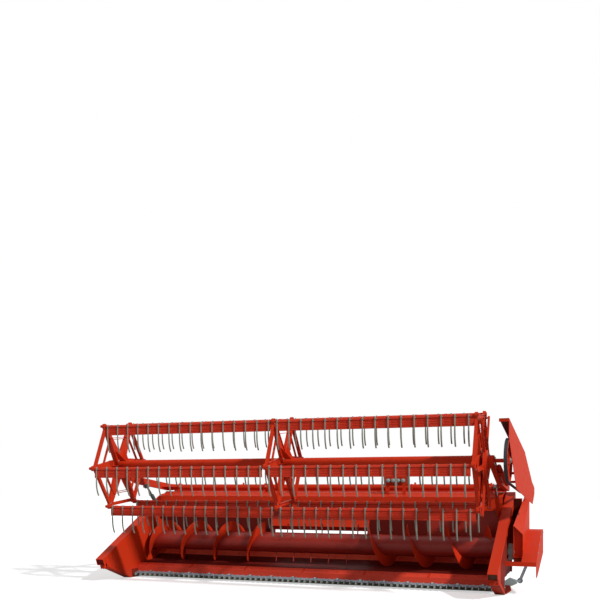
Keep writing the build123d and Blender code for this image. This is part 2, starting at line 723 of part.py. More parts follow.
def make_flight(lefthand):
    """One flight about its own Z axis, starting on its own x."""
    with BuildPart() as flight:
        with BuildLine() as flight_path:
            Helix(FLIGHT_PITCH, FLIGHT_TURNS * FLIGHT_PITCH, FLIGHT_RADIUS, lefthand=lefthand)
        with BuildSketch(Plane.XZ):
            with Locations(((AUGER_TUBE_RADIUS + FLIGHT_RADIUS) / 2, 0)):
                Rectangle(FLIGHT_RADIUS - AUGER_TUBE_RADIUS, FLIGHT_SHEET)
        sweep(path=flight_path.wires()[0], is_frenet=True)
    return flight.part


# Place along X where each flight starts, its angle there and its way along X
FLIGHTS = (
    (662.5, 0.0, 1),
    (-690.0, 90.0, -1),
)
with BuildPart() as auger_flights:
    for start_x, start_angle, way in FLIGHTS:
        start = Plane(
            origin=(start_x, AUGER_DEPTH - FACE_DEPTH, AUGER_HEIGHT - FACE_HEIGHT),
            x_dir=(0, cos(radians(start_angle)), sin(radians(start_angle))),
            z_dir=(way, 0, 0),
        )
        with Locations(start.location):
            add(make_flight(way < 0))
save(auger_flights, "auger_flights")

# Feeding fingers: two rows half a turn apart, a step along from each other
FINGER_REACH = 262.0
with BuildPart() as auger_fingers:
    for finger in range(2 * FINGER_ROW - 1):
        finger_x = (finger - FINGER_ROW + 1) * FINGER_PITCH / 2
        finger_angle = 75.0 + 180.0 * (finger % 2)
        outward = (0, cos(radians(finger_angle)), sin(radians(finger_angle)))
        base = Plane(
            origin=(
                finger_x,
                AUGER_DEPTH - FACE_DEPTH + AUGER_TUBE_RADIUS * outward[1],
                AUGER_HEIGHT - FACE_HEIGHT + AUGER_TUBE_RADIUS * outward[2],
            ),
            x_dir=(1, 0, 0),
            z_dir=outward,
        )
        with BuildSketch(base):
            RegularPolygon(FINGER_RADIUS, 8)
        extrude(amount=FINGER_REACH - AUGER_TUBE_RADIUS)
save(auger_fingers, "auger_fingers")

# Auger bearings: flange inside each end sheet and housing outside it
with BuildPart() as auger_bearings:
    for way in (-1, 1):
        for start_x, length, radius in (
            (way * HALF_WIDTH, -way * 12, 62),
            (way * (HALF_WIDTH + SHEET), way * 40, 55),
        ):
            with BuildSketch(side(start_x)):
                with Locations((AUGER_DEPTH, AUGER_HEIGHT)):
                    Circle(radius)
                    Circle(AUGER_SHAFT_RADIUS + PIN_GAP, mode=Mode.SUBTRACT)
            extrude(amount=length)
save(auger_bearings, "auger_bearings")

# Reel frame: centre tube, shafts and three spiders
BAT_ANGLES = [360 / BAT_COUNT * i - BAT_PHASE for i in range(BAT_COUNT)]


def reel_point(share, angle, drop=0.0):
    """Point of the side view at a share of the bat circle, its angle taken from the front upwards."""
    return (
        -share * BAT_RADIUS * cos(radians(angle)),
        REEL_HEIGHT - drop + share * BAT_RADIUS * sin(radians(angle)),
    )


def spokes(root, tip_width, drop=0.0):
    """Tapered spokes of a spider from its middle to the bat pins, in the side view."""
    for angle in BAT_ANGLES:
        tip = reel_point(1, angle, drop)
        across = (sin(radians(angle)), cos(radians(angle)))
        middle = (0, REEL_HEIGHT - drop)
        Polygon(
            (middle[0] - across[0] * root / 2, middle[1] - across[1] * root / 2),
            (tip[0] - across[0] * tip_width / 2, tip[1] - across[1] * tip_width / 2),
            (tip[0] + across[0] * tip_width / 2, tip[1] + across[1] * tip_width / 2),
            (middle[0] + across[0] * root / 2, middle[1] + across[1] * root / 2),
            align=None,
        )
        with Locations(tip):
            Circle(tip_width / 2)


def pin_holes(radius, drop=0.0):
    """Holes of a spider for the bat pins."""
    with Locations(*[reel_point(1, angle, drop) for angle in BAT_ANGLES]):
        Circle(radius, mode=Mode.SUBTRACT)


def ring(share, width):
    """Six straight bars between the spokes at a share of the bat circle."""
    for angle in BAT_ANGLES:
        strut(reel_point(share, angle), reel_point(share, angle + 360 / BAT_COUNT), width)


# Spiders: place along X, then where the flanges along the edges of spokes and rims start and end
SPIDERS = (
    (SPIDER_X[0], SPIDER_X[0] - 30, SPIDER_X[0] + 3),
    (SPIDER_X[1], SPIDER_X[1] - 18, SPIDER_X[1] + 18),
    (SPIDER_X[2], SPIDER_X[2] - 15, SPIDER_X[2] + 17),
)
with BuildPart() as reel_frame:
    with BuildSketch(side(SPIDER_X[0])):
        with Locations((0, REEL_HEIGHT)):
            Circle(REEL_TUBE_RADIUS)
            Circle(REEL_TUBE_RADIUS - TUBE_WALL, mode=Mode.SUBTRACT)
    extrude(amount=SPIDER_X[2] - SPIDER_X[0])
    for spider_x, flange_start, flange_end in SPIDERS:
        with BuildSketch(side(spider_x - SPIDER_SHEET / 2)):
            spokes(SPOKE_ROOT, SPOKE_TIP)
            ring(RIM_SHARE, RIM_WIDTH)
            if spider_x != 0:
                ring(RING_SHARE, RING_WIDTH)
            pin_holes(BAT_SHAFT_RADIUS + PIN_GAP)
        extrude(amount=SPIDER_SHEET)
        with BuildSketch(side(flange_start)):
            spokes(SPOKE_ROOT, SPOKE_TIP)
            ring(RIM_SHARE, RIM_WIDTH)
            offset(amount=-SPIDER_FLANGE, kind=Kind.INTERSECTION, mode=Mode.SUBTRACT)
        extrude(amount=flange_end - flange_start)
    for start_x, end_x in (
        (SPIDER_X[0], -ARM_X - ARM_THICKNESS / 2 - 10),
        (SPIDER_X[2], PULLEY_X + PULLEY_WIDTH / 2 + 8),
    ):
        with BuildSketch(side(start_x)):
            with Locations((0, REEL_HEIGHT)):
                Circle(REEL_SHAFT_RADIUS)
        extrude(amount=end_x - start_x)
save(reel_frame, "reel_frame")

# Bats: each a folded slat in two halves on one shaft, with a crank at the control end
CRANK_X = 2408.0
CRANK_SHEET = 6.0
CRANK_WIDTH = 34.0
CRANK_PIN = 10.0
BAT_END = -2425.0
SLAT_GAP = 17.0
SLAT_MIDDLE = 35.0
SLAT_FRONT = -13.0
SLAT_TOP = 3.0
SLATS = (
    (SPIDER_X[0] + SPIDER_SHEET / 2 + SLAT_GAP, -SLAT_MIDDLE),
    (SLAT_MIDDLE, SPIDER_X[2] - SPIDER_SHEET / 2 - SLAT_GAP),
)
TINE_TOP = SLAT_TOP - 6
TINE_X = [way * (TINE_FIRST + TINE_PITCH * i) for i in range(TINES_PER_HALF) for way in (-1, 1)]
with BuildPart() as tine:
    with BuildSketch(side(-TINE_WIDTH / 2)):
        with BuildLine():
            Polyline(
                (SLAT_FRONT, TINE_TOP),
                (SLAT_FRONT, -TINE_KNEE),
                (SLAT_FRONT + TINE_SWEEP, -TINE_LENGTH),
                (SLAT_FRONT + TINE_SWEEP - TINE_THICKNESS, -TINE_LENGTH),
                (SLAT_FRONT - TINE_THICKNESS, -TINE_KNEE),
                (SLAT_FRONT - TINE_THICKNESS, TINE_TOP),
                close=True,
            )
        make_face()
    extrude(amount=TINE_WIDTH)

# A bat with its shaft on the reel's own axis, ready to be put in its six places
with BuildPart() as bat_pattern:
    with BuildSketch(side(BAT_END)):
        Circle(BAT_SHAFT_RADIUS)
    extrude(amount=CRANK_X - BAT_END)
    for slat_start, slat_end in SLATS:
        with BuildSketch(side(slat_start)):
            with BuildLine():
                Polyline(
                    (SLAT_FRONT + BAT_LIP, SLAT_TOP),
                    (SLAT_FRONT, SLAT_TOP),
                    (SLAT_FRONT, SLAT_TOP - BAT_DROP),
                    (SLAT_FRONT + BAT_LIP, SLAT_TOP - BAT_DROP),
                )
                offset(amount=BAT_SHEET, side=Side.LEFT, kind=Kind.INTERSECTION)
            make_face()
        extrude(amount=slat_end - slat_start)
    with BuildSketch(side(CRANK_X)):
        strut((0, 0), (0, -CONTROL_DROP), CRANK_WIDTH)
    extrude(amount=CRANK_SHEET)
    with BuildSketch(side(CRANK_X)):
        with Locations((0, -CONTROL_DROP)):
            Circle(CRANK_PIN)
    extrude(amount=CONTROL_X - CRANK_X + SPIDER_SHEET + 8)
    with Locations(*[(tine_x, 0, 0) for tine_x in TINE_X]):
        add(tine.part)

for bat_index, bat_angle in enumerate(BAT_ANGLES):
    with BuildPart() as bat:
        with Locations((0, *reel_point(1, bat_angle))):
            add(bat_pattern.part)
    save(bat, f"bat_{bat_index + 1}")

# Control spider
with BuildPart() as control_spider:
    with BuildSketch(side(CONTROL_X - SPIDER_SHEET / 2)):
        spokes(CONTROL_SPOKE, CONTROL_SPOKE, CONTROL_DROP)
        with Locations((0, REEL_HEIGHT - CONTROL_DROP)):
            Circle(CONTROL_DISC_RADIUS + CONTROL_RING)
            Circle(CONTROL_DISC_RADIUS + PIN_GAP, mode=Mode.SUBTRACT)
        pin_holes(CRANK_PIN + PIN_GAP, CONTROL_DROP)
    extrude(amount=SPIDER_SHEET)
    with BuildSketch(side(CONTROL_X)):
        spokes(CONTROL_SPOKE, CONTROL_SPOKE, CONTROL_DROP)
        offset(amount=-SPIDER_FLANGE, kind=Kind.INTERSECTION, mode=Mode.SUBTRACT)
        with Locations((0, REEL_HEIGHT - CONTROL_DROP)):
            Circle(CONTROL_DISC_RADIUS + CONTROL_RING / 2, mode=Mode.SUBTRACT)
    extrude(amount=CONTROL_FLANGE_END - CONTROL_X)
save(control_spider, "control_spider")

# Reel pulley on the end of the reel shaft
RIM_RADIUS = PULLEY_RADIUS - BELT_THICKNESS - PIN_GAP
with BuildPart() as reel_pulley:
    with BuildSketch(side(PULLEY_X - PULLEY_WIDTH / 2)):
        with Locations((0, REEL_HEIGHT)):
            Circle(RIM_RADIUS)
            Circle(RIM_RADIUS - 14, mode=Mode.SUBTRACT)
            Circle(48)
            Circle(REEL_SHAFT_RADIUS, mode=Mode.SUBTRACT)
    extrude(amount=PULLEY_WIDTH)
    with BuildSketch(side(PULLEY_X - 3)):
        with Locations((0, REEL_HEIGHT)):
            Circle(RIM_RADIUS - 7)
            Circle(REEL_SHAFT_RADIUS, mode=Mode.SUBTRACT)
    extrude(amount=6)
save(reel_pulley, "reel_pulley")

# Drive pulley in line with the arm pivot, and the belt round both
with BuildPart() as drive_pulley:
    with BuildSketch(side(PULLEY_X - PULLEY_WIDTH / 2)):
        with Locations((PIVOT_DEPTH, PIVOT_HEIGHT)):
            Circle(DRIVE_PULLEY_RADIUS - BELT_THICKNESS - PIN_GAP)
    extrude(amount=PULLEY_WIDTH)
    with BuildSketch(side(PULLEY_X)):
        with Locations((PIVOT_DEPTH, PIVOT_HEIGHT)):
            Circle(REEL_SHAFT_RADIUS)
    extrude(amount=75)
save(drive_pulley, "drive_pulley")

with BuildPart() as reel_belt:
    with BuildSketch(side(PULLEY_X - BELT_WIDTH / 2)):
        with Locations((0, REEL_HEIGHT)):
            Circle(PULLEY_RADIUS)
        with Locations((PIVOT_DEPTH, PIVOT_HEIGHT)):
            Circle(DRIVE_PULLEY_RADIUS)
        make_hull()
    extrude(amount=BELT_WIDTH)
    with BuildSketch(side(PULLEY_X - BELT_WIDTH / 2)):
        with Locations((0, REEL_HEIGHT)):
            Circle(PULLEY_RADIUS - BELT_THICKNESS)
        with Locations((PIVOT_DEPTH, PIVOT_HEIGHT)):
            Circle(DRIVE_PULLEY_RADIUS - BELT_THICKNESS)
        make_hull()
    extrude(amount=BELT_WIDTH, mode=Mode.SUBTRACT)
save(reel_belt, "reel_belt")

# Reel shield: a plate that spreads outwards to the rear, with a cover along its top edge
SHIELD_SPREAD = 0.15
SHIELD_X = 2700.0
SHIELD_FRONT = -100.0
SHIELD_SHEET = 3.0
COVER_WIDTH = 110.0
SHIELD_ANGLE = atan2(SHIELD_SPREAD, 1)
SHIELD_PLANE = Plane(
    origin=(SHIELD_X, SHIELD_FRONT - FACE_DEPTH, -FACE_HEIGHT),
    x_dir=(sin(SHIELD_ANGLE), cos(SHIELD_ANGLE), 0),
    z_dir=(cos(SHIELD_ANGLE), -sin(SHIELD_ANGLE), 0),
)
SHIELD_TOP = (
    (-100.0, 2020.0),
    (590.0, 1672.0),
    (935.0, 1323.0),
    (1055.0, 1250.0),
)
SHIELD_OUTLINE = SHIELD_TOP + (
    (1055.0, 1177.0),
    (965.0, 1047.0),
    (210.0, 1238.0),
    (160.0, 1319.0),
    (-40.0, 1690.0),
    (-100.0, 1800.0),
)


def on_shield(points):
    """Side-view points carried onto the shield's own plane."""
    return [((depth - SHIELD_FRONT) / cos(SHIELD_ANGLE), height) for depth, height in points]


with BuildPart() as reel_shield:
    with BuildSketch(SHIELD_PLANE):
        with BuildLine():
            Polyline(*on_shield(SHIELD_OUTLINE), close=True)
        make_face()
    extrude(amount=SHIELD_SHEET)
    with BuildSketch(SHIELD_PLANE):
        with BuildLine():
            Polyline(*on_shield(SHIELD_TOP))
            offset(amount=SHIELD_SHEET, side=Side.RIGHT, kind=Kind.INTERSECTION)
        make_face()
        with Locations((0, SHIELD_TOP[0][1] - 4)):
            Rectangle(SHIELD_SHEET, 34, align=(Align.MIN, Align.MAX))
    extrude(amount=-COVER_WIDTH)
save(reel_shield, "reel_shield")

# Lift frame: both reel arms on one tube, the disc of the reel control and the stays of the shield
STAYS = ((420.0, 15.0), (900.0, 15.0))
ARM_INNER = ARM_X - ARM_THICKNESS / 2
CONE_START = 2312.0
LUG_SHEET = 12.0


def arm_height(depth):
    """Height of an arm's centre line at a depth."""
    if depth < ARM_KNEE_DEPTH:
        return REEL_HEIGHT + (ARM_KNEE_HEIGHT - REEL_HEIGHT) * depth / ARM_KNEE_DEPTH
    share = (depth - ARM_KNEE_DEPTH) / (PIVOT_DEPTH - ARM_KNEE_DEPTH)
    return ARM_KNEE_HEIGHT + (PIVOT_HEIGHT - ARM_KNEE_HEIGHT) * share


with BuildPart() as stays:
    for stay_depth, stay_radius in STAYS:
        with BuildSketch(side(ARM_X + ARM_THICKNESS / 2)):
            with Locations((stay_depth, arm_height(stay_depth))):
                Circle(stay_radius)
        extrude(amount=2 * (GUARD_PLATE_X - ARM_X))
    split(bisect_by=SHIELD_PLANE, keep=Keep.BOTTOM)

with BuildPart() as lift_frame:
    for end_name, way in ENDS:
        with BuildSketch(side(way * ARM_INNER)):
            strut((0, REEL_HEIGHT), (ARM_KNEE_DEPTH, ARM_KNEE_HEIGHT), ARM_WIDTH)
            strut((ARM_KNEE_DEPTH, ARM_KNEE_HEIGHT), (PIVOT_DEPTH, PIVOT_HEIGHT), ARM_WIDTH)
            with Locations((0, REEL_HEIGHT)):
                Circle(ARM_WIDTH * 0.62)
        extrude(amount=way * ARM_THICKNESS)
        with BuildSketch(side(way * ARM_INNER)):
            with Locations((LUG_DEPTH, LUG_HEIGHT)):
                Circle(BOSS_RADIUS)
        extrude(amount=-way * (ARM_INNER - CYLINDER_X - EYE_WIDTH / 2 - BOSS_GAP))
        with BuildSketch(side(way * ARM_INNER)):
            strut((LUG_DEPTH, LUG_HEIGHT), (LUG_DEPTH, arm_height(LUG_DEPTH)), 2 * BOSS_RADIUS)
        extrude(amount=way * LUG_SHEET)
        with BuildSketch(side(way * CONE_START)):
            with Locations((PIVOT_DEPTH, PIVOT_HEIGHT)):
                Circle(LIFT_TUBE_RADIUS)
        with BuildSketch(side(way * ARM_INNER)):
            with Locations((PIVOT_DEPTH, PIVOT_HEIGHT)):
                Circle(ARM_WIDTH / 2)
        loft()
    with BuildSketch(side(-ARM_X)):
        with Locations((PIVOT_DEPTH, PIVOT_HEIGHT)):
            Circle(LIFT_TUBE_RADIUS)
    extrude(amount=2 * ARM_X)
    with BuildSketch(side(ARM_INNER)):
        with Locations((0, REEL_HEIGHT - CONTROL_DROP)):
            Circle(CONTROL_DISC_RADIUS * 0.55)
    extrude(amount=-15)
    with BuildSketch(side(ARM_INNER - 15)):
        with Locations((0, REEL_HEIGHT - CONTROL_DROP)):
            Circle(CONTROL_DISC_RADIUS)
    extrude(amount=-(ARM_INNER - 15 - CONTROL_X + SPIDER_SHEET + 2))
    for way in (-1, 1):
        with BuildSketch(side(way * (CONTROL_X - SPIDER_SHEET - 10))):
            with Locations((0, REEL_HEIGHT)):
                Circle(REEL_SHAFT_RADIUS + PIN_GAP)
        extrude(amount=way * (ARM_X + ARM_THICKNESS - CONTROL_X + SPIDER_SHEET), mode=Mode.SUBTRACT)
    add(stays.part)
save(lift_frame, "lift_frame")

# Brackets that carry the lift tube on the wall's top box
BRACKET_SHEET = 14.0
BRACKET_RADIUS = 60.0
BRACKET_OVERLAP = 30.0
with BuildPart() as pivot_brackets:
    for bracket_x in (-2300.0, -900.0, 900.0, 2300.0):
        with BuildSketch(side(bracket_x - BRACKET_SHEET / 2)):
            with Locations((PIVOT_DEPTH, PIVOT_HEIGHT)):
                Rectangle(
                    2 * BRACKET_RADIUS,
                    PIVOT_HEIGHT - BOX_TOP + BRACKET_OVERLAP,
                    align=(Align.CENTER, Align.MAX),
                )
                Circle(BRACKET_RADIUS)
            add(box_section.sketch, mode=Mode.SUBTRACT)
            with Locations((PIVOT_DEPTH, PIVOT_HEIGHT)):
                Circle(LIFT_TUBE_RADIUS + PIN_GAP, mode=Mode.SUBTRACT)
        extrude(amount=BRACKET_SHEET)
save(pivot_brackets, "pivot_brackets")

# Lift cylinders
FOOT_TO_LUG = hypot(LUG_DEPTH - FOOT_DEPTH, LUG_HEIGHT - FOOT_HEIGHT)
AIM = ((LUG_DEPTH - FOOT_DEPTH) / FOOT_TO_LUG, (LUG_HEIGHT - FOOT_HEIGHT) / FOOT_TO_LUG)
ROD_END = 215.0
for end_name, way in ENDS:
    foot = (way * CYLINDER_X, FOOT_DEPTH - FACE_DEPTH, FOOT_HEIGHT - FACE_HEIGHT)
    aim = (0, AIM[0], AIM[1])
    with BuildPart() as barrel:
        with BuildSketch(Plane(origin=foot, x_dir=(1, 0, 0), z_dir=aim).offset(EYE_RADIUS - 4)):
            Circle(BARREL_RADIUS)
        extrude(amount=BARREL_LENGTH - EYE_RADIUS + 4)
        with BuildSketch(side(way * CYLINDER_X - EYE_WIDTH / 2)):
            with Locations((FOOT_DEPTH, FOOT_HEIGHT)):
                Circle(EYE_RADIUS)
        extrude(amount=EYE_WIDTH)
        with BuildSketch(side(way * CYLINDER_X - EYE_WIDTH)):
            with Locations((FOOT_DEPTH, FOOT_HEIGHT)):
                Circle(CYLINDER_PIN + PIN_GAP)
        extrude(amount=2 * EYE_WIDTH, mode=Mode.SUBTRACT)
        with BuildSketch(Plane(origin=foot, x_dir=(1, 0, 0), z_dir=aim).offset(EYE_RADIUS + 20)):
            Circle(ROD_RADIUS + PIN_GAP)
        extrude(amount=BARREL_LENGTH, mode=Mode.SUBTRACT)
    save(barrel, f"{end_name}_lift_barrel")

    with BuildPart() as rod:
        with BuildSketch(Plane(origin=foot, x_dir=(1, 0, 0), z_dir=aim).offset(BARREL_LENGTH - ROD_END)):
            Circle(ROD_RADIUS)
        extrude(amount=FOOT_TO_LUG - BARREL_LENGTH + ROD_END)
        with BuildSketch(side(way * CYLINDER_X - EYE_WIDTH / 2)):
            with Locations((LUG_DEPTH, LUG_HEIGHT)):
                Circle(EYE_RADIUS)
        extrude(amount=EYE_WIDTH)
    save(rod, f"{end_name}_lift_rod")

# Brace and cover plates of the drive end
BRACE_TALL = 50.0
PIVOT_PIN_END = 6.0
PLATE_BOTTOM = 205.0
PLATE_START = 385.0
PLATE_TOE = 120.0
PLATE_CREST = 1230.0
PLATE_TOP = 720.0
with BuildPart() as drive_guard:
    with BuildSketch(side(HALF_WIDTH + SHEET + DIVIDER_WIDTH)):
        with Locations((BRACE_DEPTH, BRACE_HEIGHT)):
            Rectangle(BRACE_SIZE, BRACE_TALL)
    extrude(amount=GUARD_PLATE_X - HALF_WIDTH - SHEET - DIVIDER_WIDTH)
    with BuildSketch(front(LEVER_DEPTH + LEVER_THICKNESS + PIVOT_PIN_END)):
        with Locations((LEVER_PIVOT_X, LEVER_PIVOT_HEIGHT)):
            Circle(CYLINDER_PIN)
    extrude(amount=LEVER_DEPTH + LEVER_THICKNESS + PIVOT_PIN_END - BRACE_DEPTH)
    with BuildSketch(side(GUARD_PLATE_X)):
        with BuildLine():
            Polyline(
                (BRACE_DEPTH - BRACE_SIZE / 2, PLATE_BOTTOM),
                (BRACE_DEPTH - BRACE_SIZE / 2, PLATE_START),
                (PLATE_CREST, PLATE_TOP),
                (HOUSING_REAR, PLATE_TOP),
                (HOUSING_REAR, HOUSING_BOTTOM),
                (BRACE_DEPTH + PLATE_TOE, PLATE_BOTTOM),
                close=True,
            )
        make_face()
    extrude(amount=SHEET)
    with BuildSketch(side(HOUSING_END)):
        with BuildLine():
            Polyline(
                (BRACE_DEPTH - BRACE_SIZE / 2, PLATE_START),
                (PLATE_CREST, PLATE_TOP),
                (HOUSING_REAR, PLATE_TOP),
            )
            offset(amount=SHEET, side=Side.RIGHT, kind=Kind.INTERSECTION)
        make_face()
    extrude(amount=GUARD_PLATE_X - HOUSING_END)
save(drive_guard, "drive_guard")

# Drive housing: its inner wall runs outwards to the rear and its roof falls forwards and, at the front,
# outwards. A panel stands back from its front; another closes the back beside the end sheet.
HOUSING_RECESS = 60.0
PANEL_DEPTH = 1400.0
PANEL_BOTTOM = 614.0
PULLEY_PLATE = 12.0
PULLEY_PLATE_WIDTH = 80.0


def housing_share(depth):
    """Share of the housing's length at a depth, 0 at its front and 1 at its rear."""
    return (depth - HOUSING_FRONT) / (HOUSING_REAR - HOUSING_FRONT)


def housing_face(depth, inset):
    """Corners of the housing across its length at a depth, inside its skin by an inset."""
    share = housing_share(depth)
    inner_x = HOUSING_X + (HOUSING_REAR_X - HOUSING_X) * share
    inner_top = HOUSING_INNER_TOP + (HOUSING_TOP - HOUSING_INNER_TOP) * share
    outer_top = HOUSING_OUTER_TOP + (HOUSING_TOP - HOUSING_OUTER_TOP) * share
    return (
        (inner_x + inset, HOUSING_BOTTOM + inset),
        (HOUSING_END - inset, HOUSING_BOTTOM + inset),
        (HOUSING_END - inset, outer_top - inset),
        (inner_x + inset, inner_top - inset),
    )


RECESS_REAR = HOUSING_FRONT + HOUSING_RECESS
PULLEY_FOOT = HOUSING_INNER_TOP + (HOUSING_TOP - HOUSING_INNER_TOP) * housing_share(
    PIVOT_DEPTH - PULLEY_PLATE_WIDTH / 2
)
PANEL_END = HOUSING_X + (HOUSING_REAR_X - HOUSING_X) * housing_share(PANEL_DEPTH) + SHEET / 2
with BuildPart() as drive_housing:
    for start, end, inset, mode in (
        (HOUSING_FRONT, HOUSING_REAR, 0.0, Mode.ADD),
        (HOUSING_FRONT, RECESS_REAR, SHEET, Mode.SUBTRACT),
        (RECESS_REAR + SHEET, HOUSING_REAR, SHEET, Mode.SUBTRACT),
    ):
        for depth in (start, end):
            with BuildSketch(front(depth)):
                Polygon(*housing_face(depth, inset), align=None)
        loft(ruled=True, mode=mode)
    with BuildSketch(side(PULLEY_X + PULLEY_WIDTH / 2 + PULLEY_PLATE)):
        with Locations((PIVOT_DEPTH, PIVOT_HEIGHT)):
            Rectangle(
                PULLEY_PLATE_WIDTH,
                PIVOT_HEIGHT - PULLEY_FOOT + SHEET,
                align=(Align.CENTER, Align.MAX),
            )
            Circle(PULLEY_PLATE_WIDTH * 0.6)
            Circle(REEL_SHAFT_RADIUS + PIN_GAP, mode=Mode.SUBTRACT)
    extrude(amount=PULLEY_PLATE)
    with BuildSketch(front(PANEL_DEPTH)):
        with Locations((PANEL_END, PANEL_BOTTOM)):
            Rectangle(
                PANEL_END - HALF_WIDTH - SHEET - DIVIDER_WIDTH,
                HOUSING_TOP - PANEL_BOTTOM,
                align=(Align.MAX, Align.MIN),
            )
    extrude(amount=SHEET)
save(drive_housing, "drive_housing")

# Knife gearbox between the end sheet and the housing
GEARBOX_X = 2600.0
GEARBOX_DEPTH = 820.0
GEARBOX_HEIGHT = 480.0
GEARBOX_LENGTH = 150.0
GEARBOX_TALL = 190.0
GEARBOX_CORNER = 20.0
GEARBOX_NECK = 45.0
with BuildPart() as knife_gearbox:
    with BuildSketch(side(GEARBOX_X)):
        with Locations((GEARBOX_DEPTH, GEARBOX_HEIGHT)):
            RectangleRounded(GEARBOX_LENGTH, GEARBOX_TALL, GEARBOX_CORNER)
    extrude(amount=HOUSING_X - GEARBOX_X)
    with BuildSketch(side(HALF_WIDTH + SHEET)):
        with Locations((GEARBOX_DEPTH, GEARBOX_HEIGHT)):
            Circle(GEARBOX_NECK)
    extrude(amount=GEARBOX_X - HALF_WIDTH - SHEET)
save(knife_gearbox, "knife_gearbox")

# Drive shaft across the back; its bearings sit on the wall's ribs
SHAFT_DEPTH = 1380.0
SHAFT_HEIGHT = 900.0
SHAFT_RADIUS = 20.0
SHAFT_START = 840.0
STUB_RADIUS = 17.45
STUB_LENGTH = 80.0
SHAFT_BEARING = 36.0
BEARING_REACH = 30.0
BEARING_SIZE = 70.0
with BuildPart() as back_shaft:
    with BuildSketch(side(SHAFT_START)):
        with Locations((SHAFT_DEPTH, SHAFT_HEIGHT)):
            Circle(SHAFT_RADIUS)
    extrude(amount=HALF_WIDTH - SHAFT_START - 40)
    with BuildSketch(side(SHAFT_START)):
        with Locations((SHAFT_DEPTH, SHAFT_HEIGHT)):
            Circle(STUB_RADIUS)
    extrude(amount=-STUB_LENGTH)
save(back_shaft, "back_shaft")

with BuildPart() as shaft_bearings:
    for bearing_x in RIB_WALL_X:
        with BuildSketch(side(bearing_x - SHAFT_BEARING / 2)):
            with Locations((WALL_DEPTH + SHEET + RIB_WALL_DEPTH, SHAFT_HEIGHT)):
                Rectangle(
                    SHAFT_DEPTH - WALL_DEPTH - RIB_WALL_DEPTH + BEARING_REACH,
                    BEARING_SIZE,
                    align=(Align.MIN, Align.CENTER),
                )
            with Locations((SHAFT_DEPTH, SHAFT_HEIGHT)):
                Circle(SHAFT_RADIUS + PIN_GAP, mode=Mode.SUBTRACT)
        extrude(amount=SHAFT_BEARING)
save(shaft_bearings, "shaft_bearings")

# Coupler bracket on the top box with four hydraulic couplers
COUPLER_X = 1072.0
COUPLER_PITCH = 68.0
COUPLER_RADIUS = 20.0
COUPLER_BRACKET = (330.0, 105.0, 6.0)
COUPLER_DEPTH = 1324.0
COUPLER_HEIGHT = 1345.0
POST_X = 110.0
POST_WIDTH = 40.0
POST_FOOT = roof_height(COUPLER_DEPTH)
with BuildPart() as coupler_bracket:
    with BuildSketch(front(COUPLER_DEPTH)):
        with Locations((COUPLER_X, COUPLER_HEIGHT)):
            Rectangle(COUPLER_BRACKET[0], COUPLER_BRACKET[1])
    extrude(amount=COUPLER_BRACKET[2])
    with BuildSketch(front(COUPLER_DEPTH)):
        for post in (-1, 1):
            with Locations((COUPLER_X + post * POST_X, POST_FOOT)):
                Rectangle(POST_WIDTH, COUPLER_HEIGHT - POST_FOOT, align=(Align.CENTER, Align.MIN))
    extrude(amount=COUPLER_BRACKET[2])
save(coupler_bracket, "coupler_bracket")

with BuildPart() as couplers:
    with BuildSketch(front(COUPLER_DEPTH - COUPLER_BRACKET[2])):
        with Locations((COUPLER_X, COUPLER_HEIGHT)):
            with GridLocations(COUPLER_PITCH, 1, 4, 1):
                Circle(COUPLER_RADIUS)
    extrude(amount=45)
save(couplers, "couplers")
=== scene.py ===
"""Looks of a combine harvester's grain header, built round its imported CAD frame.

Places are given in millimetres as (x, depth, height): x along the header from its middle, depth rearwards
from the reel shaft at rest and height above the ground. row() turns them into the row frame's metres.
"""
import logging
import math
from dataclasses import dataclass
from enum import Enum

import bmesh
import bpy
import numpy as np
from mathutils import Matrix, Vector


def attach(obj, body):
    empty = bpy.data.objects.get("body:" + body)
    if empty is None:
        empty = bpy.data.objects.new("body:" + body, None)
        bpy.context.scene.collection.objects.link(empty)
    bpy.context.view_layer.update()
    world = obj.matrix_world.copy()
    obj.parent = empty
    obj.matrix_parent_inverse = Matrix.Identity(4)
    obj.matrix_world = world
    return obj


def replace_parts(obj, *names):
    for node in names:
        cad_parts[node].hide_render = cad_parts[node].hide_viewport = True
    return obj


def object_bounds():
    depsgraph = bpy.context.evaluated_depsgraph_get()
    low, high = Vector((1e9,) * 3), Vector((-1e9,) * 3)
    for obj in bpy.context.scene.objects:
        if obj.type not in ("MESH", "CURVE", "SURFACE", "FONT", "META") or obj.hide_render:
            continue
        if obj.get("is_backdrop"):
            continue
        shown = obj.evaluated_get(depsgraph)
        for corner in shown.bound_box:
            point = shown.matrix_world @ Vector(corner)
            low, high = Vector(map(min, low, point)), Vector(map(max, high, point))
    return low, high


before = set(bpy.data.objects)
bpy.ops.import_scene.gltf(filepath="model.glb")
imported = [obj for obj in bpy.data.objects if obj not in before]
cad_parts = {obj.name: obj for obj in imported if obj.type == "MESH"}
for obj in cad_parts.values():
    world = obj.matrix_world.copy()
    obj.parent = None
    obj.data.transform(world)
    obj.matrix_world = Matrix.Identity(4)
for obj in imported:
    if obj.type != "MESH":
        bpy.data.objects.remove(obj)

log = logging.getLogger("header")

Array = np.ndarray
# A place or a direction, three other numbers, and two numbers
Point = tuple[float, float, float]
Triple = tuple[float, float, float]
Pair = tuple[float, float]

# Depth and height of the feeder's face, where the row frame starts
FACE = (1420.0, 505.0)
# Directions that bolts and turned parts stand out in
RIGHT = (1.0, 0.0, 0.0)
FORWARD = (0.0, -1.0, 0.0)
REARWARD = (0.0, 1.0, 0.0)
UP = (0.0, 0.0, 1.0)
# Smooth shading breaks at edges that turn by more degrees than this
SHARP = 32.0
# Repeats a metre of the paint's patterns: fading 180 mm, crop marks 60 mm, orange peel 4.5 mm, which is
# drawn coarser than the real one so that it shows
FADING, MARKS, PEEL = 5.5, 16.0, 220.0
